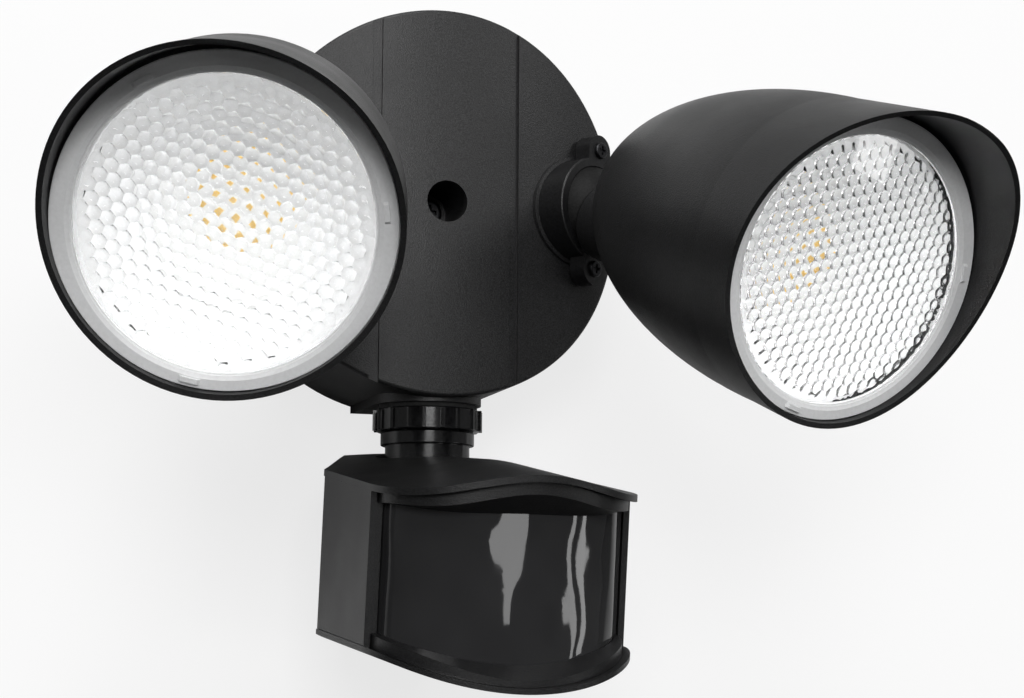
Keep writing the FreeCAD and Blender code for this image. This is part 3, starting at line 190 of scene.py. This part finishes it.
def soft_lamp(name, place, aim, width, height, power):
    """A rectangular lamp that faces a point."""
    lamp = bpy.data.lights.new(name, "AREA")
    lamp.shape = "RECTANGLE"
    lamp.size = width
    lamp.size_y = height
    lamp.energy = power
    lamp_object = bpy.data.objects.new(name, lamp)
    lamp_object.location = place
    lamp_object.rotation_euler = (Vector(aim) - Vector(place)).to_track_quat("-Z", "Y").to_euler()
    bpy.context.scene.collection.objects.link(lamp_object)
    return lamp_object


CANOPY_FRONT = (0.0, -0.05, 0.0)
CANOPY_BACK = (0.0, 0.0, 0.0)
SENSOR_FRONT = (0.0, -0.08, -0.12)
soft_lamp("key_lamp", (-0.6, -1.3, 1.9), CANOPY_FRONT, 1.2, 1.0, 30.0)
soft_lamp("front_lamp", (-0.6, -2.3, 0.55), CANOPY_FRONT, 1.1, 0.7, 25.0)
soft_lamp("right_lamp", (1.3, -1.5, 1.0), CANOPY_FRONT, 0.7, 0.5, 8.0)
soft_lamp("strip_lamp_ahead", (0.67, -2.05, -0.42), SENSOR_FRONT, 0.28, 0.30, 1.1)
soft_lamp("strip_lamp_right", (1.56, -1.12, -0.35), SENSOR_FRONT, 0.14, 0.26, 0.5)
soft_lamp("strip_lamp_far_right", (1.74, -0.86, -0.32), SENSOR_FRONT, 0.16, 0.26, 0.6)
back_lamp = soft_lamp("back_lamp", (0.9, 1.7, 1.2), CANOPY_BACK, 1.0, 0.8, 34.0)
back_pieces = bpy.data.collections.new("back_pieces")
for name in ("wall_gasket", "back_cover", "back_cover_screws", "crossbar_bracket"):
    back_pieces.objects.link(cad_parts[name])
back_lamp.light_linking.receiver_collection = back_pieces
back_lamp.light_linking.blocker_collection = back_pieces

# The room is dark below and grey above, but the camera and clear plastic see it pale.
world = bpy.data.worlds.new("room")
world.use_nodes = True
bpy.context.scene.world = world
room = world.node_tree
room_background = room.nodes["Background"]
room_direction = room.nodes.new("ShaderNodeTexCoord")
room_parts = room.nodes.new("ShaderNodeSeparateXYZ")
room.links.new(room_direction.outputs["Generated"], room_parts.inputs[0])
room_ramp = room.nodes.new("ShaderNodeValToRGB")
room_ramp.color_ramp.elements[0].position = 0.36
room_ramp.color_ramp.elements[0].color = (0.02, 0.02, 0.02, 1)
room_ramp.color_ramp.elements[1].position = 0.62
room_ramp.color_ramp.elements[1].color = (0.26, 0.26, 0.26, 1)
room_height = room.nodes.new("ShaderNodeMapRange")
room_height.inputs["From Min"].default_value = -1.0
room_height.inputs["From Max"].default_value = 1.0
room.links.new(room_parts.outputs["Z"], room_height.inputs["Value"])
room.links.new(room_height.outputs["Result"], room_ramp.inputs["Fac"])
room_paths = room.nodes.new("ShaderNodeLightPath")
room_mix = room.nodes.new("ShaderNodeMix")
room_mix.data_type = "RGBA"
room_mix.inputs["B"].default_value = (0.85, 0.85, 0.85, 1)
room_pale = room.nodes.new("ShaderNodeMath")
room_pale.operation = "MAXIMUM"
room.links.new(room_paths.outputs["Is Transmission Ray"], room_pale.inputs[0])
room.links.new(room_paths.outputs["Is Camera Ray"], room_pale.inputs[1])
room.links.new(room_pale.outputs[0], room_mix.inputs["Factor"])
room.links.new(room_ramp.outputs["Color"], room_mix.inputs["A"])
room.links.new(room_mix.outputs["Result"], room_background.inputs["Color"])
room_background.inputs["Strength"].default_value = 1.0


# ---- canopy housing ---------------------------------------------------------------------
# The round housing is moulded in black plastic with a fine grain, as are most of the other pieces.
# Its front is gently curved, with two grooves and a deep hole for the centre screw.
def grain_group():
    """Moulded grain: fine noise as a height and a speckle for colour, slow noise for roughness."""
    group = bpy.data.node_groups.new("moulded_grain", "ShaderNodeTree")
    group.interface.new_socket("Grain per metre", in_out="INPUT", socket_type="NodeSocketFloat")
    group.interface.new_socket("Height", in_out="OUTPUT", socket_type="NodeSocketFloat")
    group.interface.new_socket("Speckle", in_out="OUTPUT", socket_type="NodeSocketFloat")
    group.interface.new_socket("Patches", in_out="OUTPUT", socket_type="NodeSocketFloat")
    nodes, links = group.nodes, group.links
    start = nodes.new("NodeGroupInput")
    end = nodes.new("NodeGroupOutput")
    place = nodes.new("ShaderNodeTexCoord")
    fine = nodes.new("ShaderNodeTexNoise")
    fine.inputs["Detail"].default_value = 1.0
    fine.inputs["Roughness"].default_value = 0.6
    links.new(place.outputs["Object"], fine.inputs["Vector"])
    links.new(start.outputs[0], fine.inputs["Scale"])
    speckle = nodes.new("ShaderNodeMapRange")
    speckle.inputs["From Min"].default_value = 0.32
    speckle.inputs["From Max"].default_value = 0.68
    links.new(fine.outputs["Fac"], speckle.inputs["Value"])
    patches = nodes.new("ShaderNodeTexNoise")
    patches.inputs["Scale"].default_value = 38.0
    patches.inputs["Detail"].default_value = 2.0
    links.new(place.outputs["Object"], patches.inputs["Vector"])
    links.new(fine.outputs["Fac"], end.inputs["Height"])
    links.new(speckle.outputs["Result"], end.inputs["Speckle"])
    links.new(patches.outputs["Fac"], end.inputs["Patches"])
    return group


grain = grain_group()


def moulded_plastic(name, colour, roughness, grain_per_metre, depth, spread=0.08, contrast=0.5):
    """Moulded plastic: the grain is a bump and a speckle, and the patches spread its roughness.

    The speckle darkens and lightens the colour by up to its share contrast, and the patches lower
    and raise the roughness by up to spread.
    """
    material, tree, shader = new_material(name, colour, roughness)
    nodes, links = tree.nodes, tree.links
    texture = nodes.new("ShaderNodeGroup")
    texture.node_tree = grain
    texture.inputs["Grain per metre"].default_value = grain_per_metre
    bump = nodes.new("ShaderNodeBump")
    bump.inputs["Strength"].default_value = 1.0
    bump.inputs["Distance"].default_value = depth
    links.new(texture.outputs["Height"], bump.inputs["Height"])
    links.new(bump.outputs["Normal"], shader.inputs["Normal"])
    shade = nodes.new("ShaderNodeMix")
    shade.data_type = "RGBA"
    shade.inputs["A"].default_value = (*[c * (1 - contrast) for c in colour], 1.0)
    shade.inputs["B"].default_value = (*[min(1.0, c * (1 + contrast)) for c in colour], 1.0)
    links.new(texture.outputs["Speckle"], shade.inputs["Factor"])
    links.new(shade.outputs["Result"], shader.inputs["Base Color"])
    gloss = nodes.new("ShaderNodeMapRange")
    gloss.inputs["From Min"].default_value = 0.3
    gloss.inputs["From Max"].default_value = 0.7
    gloss.inputs["To Min"].default_value = roughness - spread
    gloss.inputs["To Max"].default_value = roughness + spread
    links.new(texture.outputs["Patches"], gloss.inputs["Value"])
    links.new(gloss.outputs["Result"], shader.inputs["Roughness"])
    return material


def dress(material, *names):
    """Gives CAD nodes one material."""
    for name in names:
        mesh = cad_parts[name].data
        mesh.materials.clear()
        mesh.materials.append(material)


grained_black = moulded_plastic("grained_black_plastic", (0.011, 0.011, 0.0115), 0.46,
                                2600.0, 0.00010, 0.05, 0.9)
dress(grained_black, "canopy_housing", "screw_tube")

# ---- back of the canopy -----------------------------------------------------------------
# A foam gasket seals the canopy to the wall round a plastic cover and a zinc-plated steel bar.
# The bar is screwed to the junction box, and the centre screw pulls the canopy onto it.
plain_black = moulded_plastic("plain_black_plastic", (0.014, 0.014, 0.015), 0.5, 1600.0, 0.00003)
rubber = moulded_plastic("black_foam_rubber", (0.012, 0.012, 0.012), 0.85, 700.0, 0.00015)
dress(rubber, "wall_gasket", "neck_washer")
dress(plain_black, "back_cover", "driver_case", "driver_lid", "terminal_block")


def cloudy_metal(name, colour, roughness):
    """Bare, plated or blackened metal: faint cloudy patches spread its roughness."""
    material, tree, shader = new_material(name, colour, roughness, metallic=1.0)
    nodes, links = tree.nodes, tree.links
    place = nodes.new("ShaderNodeTexCoord")
    clouds = nodes.new("ShaderNodeTexNoise")
    clouds.inputs["Scale"].default_value = 260.0
    clouds.inputs["Detail"].default_value = 4.0
    links.new(place.outputs["Object"], clouds.inputs["Vector"])
    gloss = nodes.new("ShaderNodeMapRange")
    gloss.inputs["To Min"].default_value = roughness - 0.12
    gloss.inputs["To Max"].default_value = roughness + 0.12
    links.new(clouds.outputs["Fac"], gloss.inputs["Value"])
    links.new(gloss.outputs["Result"], shader.inputs["Roughness"])
    return material


zinc = cloudy_metal("zinc_plated_steel", (0.55, 0.56, 0.58), 0.35)
dark_screw = cloudy_metal("blackened_steel", (0.045, 0.045, 0.048), 0.42)
dress(zinc, "crossbar_bracket", "back_cover_screws")
dress(dark_screw, "mounting_screw", "clamp_screws_left", "clamp_screws_right", "sensor_screws",
      "heat_sink_screws_left", "heat_sink_screws_right", "stem_nut_left", "stem_nut_right")

# ---- ball joints ------------------------------------------------------------------------
# Each head turns on a ball that two plastic halves clamp: a socket base in the canopy and a ring
# with two ears, held by two screws. They are smoother than the canopy.
satin_black = moulded_plastic("satin_black_plastic", (0.006, 0.006, 0.0065), 0.40, 1500.0, 0.00004)
dress(satin_black, "socket_base_left", "socket_base_right", "clamp_ring_left", "clamp_ring_right")
matte_black = moulded_plastic("matte_black_ball", (0.006, 0.006, 0.006), 0.62, 1500.0, 0.00003)
matte_black.node_tree.nodes["Principled BSDF"].inputs["Specular IOR Level"].default_value = 0.22
dress(matte_black, "ball_stem_left", "ball_stem_right")
dress(plain_black, "ball_seat_left", "ball_seat_right")

# ---- head shells ------------------------------------------------------------------------
# Each bullet-shaped shell runs on into a slanted hood. It is moulded in one piece, in black plastic
# with the canopy's fine grain, and a nut inside it holds it on its ball's stem.
head_black = moulded_plastic("grained_black_head", (0.008, 0.008, 0.0085), 0.42,
                             2600.0, 0.00009, 0.05, 0.9)
dress(head_black, "head_shell_left", "head_shell_right")

# ---- inside of the heads ----------------------------------------------------------------
# A cast aluminium heat sink carries a white board with a diamond of yellow LED chips.
# A white reflector bowl opens from the board to the lens.
bare_aluminium = cloudy_metal("cast_aluminium", (0.75, 0.75, 0.77), 0.5)
dress(bare_aluminium, "heat_sink_left", "heat_sink_right")
board_white = moulded_plastic("white_board", (0.80, 0.80, 0.79), 0.35, 600.0, 0.00001, 0.05, 0.03)
dress(board_white, "led_board_left", "led_board_right")
phosphor = moulded_plastic("yellow_phosphor", (0.92, 0.62, 0.12), 0.4, 2500.0, 0.00002, 0.05, 0.03)

CHIP_ROWS = 6
CHIP_PITCH = 0.00125
CHIP_SIZE = 0.00100
CHIP_TAPER = 0.86
CHIP_FOOT = -0.0294
CHIP_TOP = -0.0287
BALL_OUT, BALL_AHEAD, BALL_UP = 0.0501, 0.047, 0.0011
LENS_OUT, LENS_UP, LENS_AHEAD = 0.0045, 0.0115, 0.1295


def head_frame(side, turn, drop):
    """The head's own axes and the middle of its lens face, from its turn and drop in degrees.

    z looks out of the lens, x is level and y is up. The ball sits in the canopy's socket, BALL_OUT
    from the canopy's middle line, BALL_AHEAD of the wall and BALL_UP. From there the lens face's
    middle is LENS_OUT, LENS_UP and LENS_AHEAD along the head's own axes. side is -1 for the left
    head and 1 for the right one.
    """
    turn, drop = math.radians(turn), math.radians(drop)
    x_axis = Vector((math.cos(turn), math.sin(turn), 0))
    z_axis = Vector((math.sin(turn) * math.cos(drop), -math.cos(turn) * math.cos(drop),
                     math.sin(drop)))
    axes = Matrix((x_axis, z_axis.cross(x_axis), z_axis)).transposed()
    ball = Vector((side * BALL_OUT, -BALL_AHEAD, BALL_UP))
    return np.array(axes), np.array(ball + axes @ Vector((side * LENS_OUT, LENS_UP, LENS_AHEAD)))


def chip_cluster(name, side, turn, drop):
    """A square grid of chips, turned by 45 degrees. Each is a low block with a smaller top face.

    Its foot is CHIP_SIZE square, and its top is CHIP_TAPER of that.
    """
    steps = (np.arange(CHIP_ROWS) - (CHIP_ROWS - 1) / 2) * CHIP_PITCH
    i, j = np.meshgrid(steps, steps, indexing="ij")
    centres = np.stack([i - j, i + j], axis=-1).reshape(-1, 1, 2) * math.sqrt(0.5)
    corners = np.array([[1, 0], [0, 1], [-1, 0], [0, -1]]) * CHIP_SIZE * math.sqrt(0.5)
    flat = centres + np.concatenate([corners, CHIP_TAPER * corners])[None, :, :]
    height = np.array([CHIP_FOOT] * 4 + [CHIP_TOP] * 4)[None, :, None]
    height = np.broadcast_to(height, flat.shape[:2] + (1,))
    points = np.concatenate([flat, height], axis=-1).reshape(-1, 3)
    k = np.arange(4)
    sides = np.stack([k, (k + 1) % 4, (k + 1) % 4 + 4, k + 4], axis=-1)
    block = np.concatenate([sides, [[4, 5, 6, 7]], [[3, 2, 1, 0]]])
    faces = (np.arange(len(centres)) * 8)[:, None, None] + block
    axes, centre = head_frame(side, turn, drop)
    chips = mesh_piece(name, points @ axes.T + centre, faces.reshape(-1, 4).tolist())
    chips.data.materials.append(phosphor)
    return chips


HEADS = {"left": (-1, -18.7, -20.9), "right": (1, 14.5, -21.6)}
for word, head in HEADS.items():
    chips = chip_cluster("chip_cluster_" + word, *head)
    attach(chips, "head_" + word)
    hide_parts("led_chips_" + word)
reflector_white = moulded_plastic("white_reflector", (0.90, 0.90, 0.90), 0.28,
                                  500.0, 0.00001, 0.05, 0.03)
dress(reflector_white, "reflector_left", "reflector_right")
pale_silicone = moulded_plastic("pale_silicone", (0.80, 0.80, 0.80), 0.6,
                                700.0, 0.00003, 0.05, 0.03)
dress(pale_silicone, "lens_gasket_left", "lens_gasket_right")

# ---- lens rings -------------------------------------------------------------------------
# A translucent frosted plastic ring with a bevelled inner edge and three small tabs holds each
# lens in its shell.
frosted = moulded_plastic("frosted_plastic", (0.93, 0.935, 0.94), 0.42, 900.0, 0.00003, 0.05, 0.03)
frosted_shader = frosted.node_tree.nodes["Principled BSDF"]
frosted_shader.inputs["Transmission Weight"].default_value = 0.15
frosted_shader.inputs["IOR"].default_value = 1.49
RING_OUTLINE_MM = ((43.95, -2.2), (43.95, -0.2), (43.75, 0.0), (42.95, 0.0), (42.9, 0.0),
                   (41.55, 0.0), (41.5, 0.0), (41.15, 0.0), (40.95, -0.12), (40.0, -0.45),
                   (39.85, -0.75), (39.42, -0.9), (39.42, -2.2))
RING_STEPS = 360
RING_TABS = (118.0, 5.0, 256.0)
RING_TAB_HALF = 3.4
RING_TAB_H = 0.0008
RING_OUT_R = 0.0452
RING_CREASE = math.radians(30)
SHELL_IN_R = 0.0453
SHELL_RISE = 0.0013


def point_outwards(mesh):
    """Drops the loose points of a closed shell and turns all of its faces outwards."""
    body = bmesh.new()
    body.from_mesh(mesh)
    bmesh.ops.delete(body, geom=[v for v in body.verts if not v.link_faces], context="VERTS")
    bmesh.ops.recalc_face_normals(body, faces=body.faces)
    body.to_mesh(mesh)
    body.free()


def frosted_ring(name, side, turn, drop):
    """A turned ring: its outline, in pairs of radius and height, is carried round the lens's axis.

    The first three points are drawn out to RING_OUT_R, or to the shell where that is nearer: its
    bore has the radius SHELL_IN_R, and its centre is SHELL_RISE above the lens's. The fifth and the
    sixth point are raised by RING_TAB_H where the angle is within RING_TAB_HALF degrees of a tab's
    middle.
    """
    outline = np.array(RING_OUTLINE_MM) / 1000
    degrees = np.arange(RING_STEPS)
    away = np.abs((degrees[:, None] - np.array(RING_TABS) + 180) % 360 - 180).min(axis=1)
    raised = np.zeros((RING_STEPS, len(outline)))
    raised[:, 4:6] = np.where(away < RING_TAB_HALF, RING_TAB_H, 0.0)[:, None]
    round_z = np.radians(degrees)[:, None]
    cosines, sines = np.cos(round_z), np.sin(round_z)
    bore = SHELL_RISE * sines + np.sqrt(SHELL_IN_R ** 2 - (SHELL_RISE * cosines) ** 2)
    r = np.repeat(outline[None, :, 0], RING_STEPS, axis=0)
    r[:, :3] += np.minimum(RING_OUT_R, bore) - outline[0, 0]
    points = np.stack([r * cosines, r * sines, outline[None, :, 1] + raised], axis=-1)
    axes, centre = head_frame(side, turn, drop)
    ring = surface_from_grid(name, points @ axes.T + centre, close_u=True, close_v=True)
    point_outwards(ring.data)
    ring.data.set_sharp_from_angle(angle=RING_CREASE)
    ring.data.materials.append(frosted)
    return ring


for word, head in HEADS.items():
    ring = frosted_ring("frosted_ring_" + word, *head)
    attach(ring, "head_" + word)
    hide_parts("lens_ring_" + word)

# ---- lenses -----------------------------------------------------------------------------
# Each lens is a clear plastic disc with a low crown, smooth outside. Inside it is covered with
# small round domes in a honeycomb, so each dome shows the LED cluster as one small dot.
clear, clear_tree, clear_shader = new_material("clear_lens_plastic", (0.985, 0.99, 0.995), 0.015)
clear_shader.inputs["Transmission Weight"].default_value = 1.0
clear_shader.inputs["IOR"].default_value = 1.49
# The lens casts only 4% of a shadow, so that the lamps light the reflector through it.
clear_paths = clear_tree.nodes.new("ShaderNodeLightPath")
clear_opacity = clear_tree.nodes.new("ShaderNodeMath")
clear_opacity.operation = "MULTIPLY_ADD"
clear_opacity.inputs[1].default_value = -0.96
clear_opacity.inputs[2].default_value = 1.0
clear_tree.links.new(clear_paths.outputs["Is Shadow Ray"], clear_opacity.inputs[0])
clear_tree.links.new(clear_opacity.outputs[0], clear_shader.inputs["Alpha"])

PILLOW_PITCH = 0.0038
PILLOW_SLOPE = 0.76
PILLOW_RINGS = (0.36, 0.7, 1.0)
PILLOW_SPOKES = 12
PILLOW_ROWS = 18
PILLOWS_R = 0.0380
PILLOW_RUN_OUT = 0.0014
LENS_LEANS = {"left": 8.0, "right": -14.0}
LENS_BACK = -0.0038
LENS_LAND_FRONT = -0.0022
LENS_LAND_R = 0.0437
LENS_CLEAR_R = 0.0391
LENS_EDGE = -0.0008
LENS_CROWN = 0.0016
CROWN_STEPS = 14
LENS_CREASE = math.radians(40)


def pillow_sheet(lean):
    """The lens's back: a honeycomb of round domes, cut off by a circle.

    Each cell has its centre and three rings of points on PILLOW_SPOKES spokes, at the shares
    PILLOW_RINGS of the way to its hexagonal edge. A point's depth is
    PILLOW_SLOPE * d^2 / PILLOW_PITCH, where d is its distance from the cell's centre, so that the
    slope at the middle of an edge is PILLOW_SLOPE. Points that neighbouring cells share are made
    one. The depth runs out to nothing over the last PILLOW_RUN_OUT before the circle, and points
    outside the circle are drawn in to it.
    """
    steps = np.arange(-PILLOW_ROWS, PILLOW_ROWS + 1)
    i, j = np.meshgrid(steps, steps, indexing="ij")
    row = PILLOW_PITCH * math.cos(math.pi / 6)
    centres = np.stack([i * row, (j + i / 2) * PILLOW_PITCH], axis=-1).reshape(-1, 2)
    centres = centres[np.hypot(centres[:, 0], centres[:, 1]) < PILLOWS_R + PILLOW_PITCH / 2]
    k = np.arange(PILLOW_SPOKES)
    around = k * math.pi / 6
    edge = np.where(k % 2, PILLOW_PITCH / 2, PILLOW_PITCH / 2 / math.cos(math.pi / 6))
    spokes = np.stack([np.cos(around), np.sin(around)], axis=-1) * edge[:, None]
    cell = np.concatenate([np.zeros((1, 2))] + [share * spokes for share in PILLOW_RINGS])
    points = centres[:, None, :] + cell[None, :, :]
    depth = PILLOW_SLOPE * (cell ** 2).sum(axis=-1) / PILLOW_PITCH
    depth = np.broadcast_to(depth, points.shape[:2])
    after = (k + 1) % PILLOW_SPOKES
    fan = np.stack([np.zeros_like(k), k + 1, after + 1], axis=-1)
    bands = [np.stack([inner + k, inner + PILLOW_SPOKES + k, inner + PILLOW_SPOKES + after,
                       inner + after], axis=-1) for inner in (1, 1 + PILLOW_SPOKES)]
    start = (np.arange(len(centres)) * len(cell))[:, None, None]
    triangles = (start + fan).reshape(-1, 3)
    quads = (start + np.concatenate(bands)).reshape(-1, 4)
    flat = points.reshape(-1, 2)
    rounded = np.round(flat * 1e7).astype(int)
    first, same = np.unique(rounded, axis=0, return_index=True, return_inverse=True)[1:]
    same = same.reshape(-1)
    flat, depth = flat[first], depth.reshape(-1)[first]
    radius = np.hypot(flat[:, 0], flat[:, 1])
    outside = radius >= PILLOWS_R
    flat = np.where(outside[:, None], flat * (PILLOWS_R / np.maximum(radius, 1e-9))[:, None], flat)
    depth = depth * np.clip((PILLOWS_R - radius) / PILLOW_RUN_OUT, 0.0, 1.0)
    triangles, quads = same[triangles], same[quads]
    triangles = triangles[~outside[triangles].all(axis=1)]
    quads = quads[~outside[quads].all(axis=1)]
    turn = np.array([[math.cos(lean), math.sin(lean)], [-math.sin(lean), math.cos(lean)]])
    return np.column_stack([flat @ turn, LENS_BACK + depth]), triangles, quads, outside


def pillow_lens(name, side, turn, drop, lean):
    """The whole lens: the pillow sheet, and a turned outline from its edge round to the crown.

    The crown's height over its edge is LENS_CROWN * (1 - (r / LENS_CLEAR_R)^2). The honeycomb is
    turned by lean degrees.
    """
    sheet, triangles, quads, outside = pillow_sheet(math.radians(lean))
    used = np.unique(np.concatenate([triangles.ravel(), quads.ravel()]))
    rim = used[outside[used]]
    rim = rim[np.argsort(np.arctan2(sheet[rim, 1], sheet[rim, 0]))]
    angles = np.arctan2(sheet[rim, 1], sheet[rim, 0])
    crown_r = LENS_CLEAR_R * np.linspace(1.0, 0.0, CROWN_STEPS)[:-1]
    outline_r = np.concatenate([[LENS_LAND_R, LENS_LAND_R, LENS_CLEAR_R], crown_r])
    crown_z = LENS_EDGE + LENS_CROWN * (1 - (crown_r / LENS_CLEAR_R) ** 2)
    outline_z = np.concatenate([[LENS_BACK, LENS_LAND_FRONT, LENS_LAND_FRONT], crown_z])
    rings = np.stack([outline_r[:, None] * np.cos(angles), outline_r[:, None] * np.sin(angles),
                      np.broadcast_to(outline_z[:, None], (len(outline_r), len(angles)))], axis=-1)
    top = np.array([[0.0, 0.0, LENS_EDGE + LENS_CROWN]])
    points = np.concatenate([sheet, rings.reshape(-1, 3), top])
    ring_index = len(sheet) + np.arange(rings.size // 3).reshape(rings.shape[:2])
    index = np.concatenate([rim[None, :], ring_index])
    index = np.hstack([index, index[:, :1]])
    walls = np.stack([index[:-1, :-1], index[:-1, 1:], index[1:, 1:], index[1:, :-1]], axis=-1)
    last = index[-1]
    cap = np.stack([last[:-1], last[1:], np.full(len(rim), len(points) - 1)], axis=-1)
    faces = triangles.tolist() + quads.tolist() + walls.reshape(-1, 4).tolist() + cap.tolist()
    axes, centre = head_frame(side, turn, drop)
    lens = mesh_piece(name, points @ axes.T + centre, faces)
    point_outwards(lens.data)
    smooth_faces(lens.data)
    lens.data.set_sharp_from_angle(angle=LENS_CREASE)
    lens.data.materials.append(clear)
    return lens


for word, head in HEADS.items():
    lens = pillow_lens("pillow_lens_" + word, *head, LENS_LEANS[word])
    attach(lens, "head_" + word)
    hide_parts("lens_" + word)

# ---- neck and lock nut ------------------------------------------------------------------
# The ribbed nut locks the sensor's neck under the canopy. Both are moulded in glossy black plastic.
# A slit ring on the neck's thread, inside the canopy, keeps it from dropping out.
gloss_black = moulded_plastic("gloss_black_plastic", (0.007, 0.007, 0.0075), 0.20,
                              900.0, 0.00001, 0.05)
dress(gloss_black, "swivel_nut", "sensor_neck")
dress(plain_black, "neck_retainer")

# ---- motion sensor ----------------------------------------------------------------------
# The sensor's housing, its visor and its base are moulded in satin black plastic. A dark glossy
# window curves round its front, with the detector's board behind it.
sensor_black = moulded_plastic("satin_black_sensor", (0.010, 0.010, 0.0105), 0.36,
                               2600.0, 0.00006, 0.05, 0.7)
dress(sensor_black, "sensor_housing", "sensor_top_cover", "sensor_bottom_cover", "sensor_bezel")
window_black, window_tree, window_shader = new_material("dark_gloss_window",
                                                        (0.026, 0.026, 0.027), 0.05)
# Slow waves in the window's face bend the streaks of light that it mirrors.
window_place = window_tree.nodes.new("ShaderNodeTexCoord")
window_stretch = window_tree.nodes.new("ShaderNodeMapping")
window_stretch.inputs["Scale"].default_value = (60.0, 60.0, 34.0)
window_waves = window_tree.nodes.new("ShaderNodeTexNoise")
window_waves.inputs["Scale"].default_value = 1.0
window_waves.inputs["Detail"].default_value = 1.0
window_bump = window_tree.nodes.new("ShaderNodeBump")
window_bump.inputs["Distance"].default_value = 0.0013
window_tree.links.new(window_place.outputs["Object"], window_stretch.inputs["Vector"])
window_tree.links.new(window_stretch.outputs["Vector"], window_waves.inputs["Vector"])
window_tree.links.new(window_waves.outputs["Fac"], window_bump.inputs["Height"])
window_tree.links.new(window_bump.outputs["Normal"], window_shader.inputs["Normal"])
dress(window_black, "sensor_window")
dress(plain_black, "sensor_seat", "time_dial", "light_dial")
board_green = moulded_plastic("circuit_board", (0.02, 0.16, 0.07), 0.4, 900.0, 0.00001, 0.05, 0.03)
dress(board_green, "sensor_board")
dress(zinc, "infrared_detector")
cell_amber = moulded_plastic("amber_cell", (0.6, 0.22, 0.08), 0.2, 900.0, 0.00001, 0.05, 0.1)
dress(cell_amber, "daylight_cell")
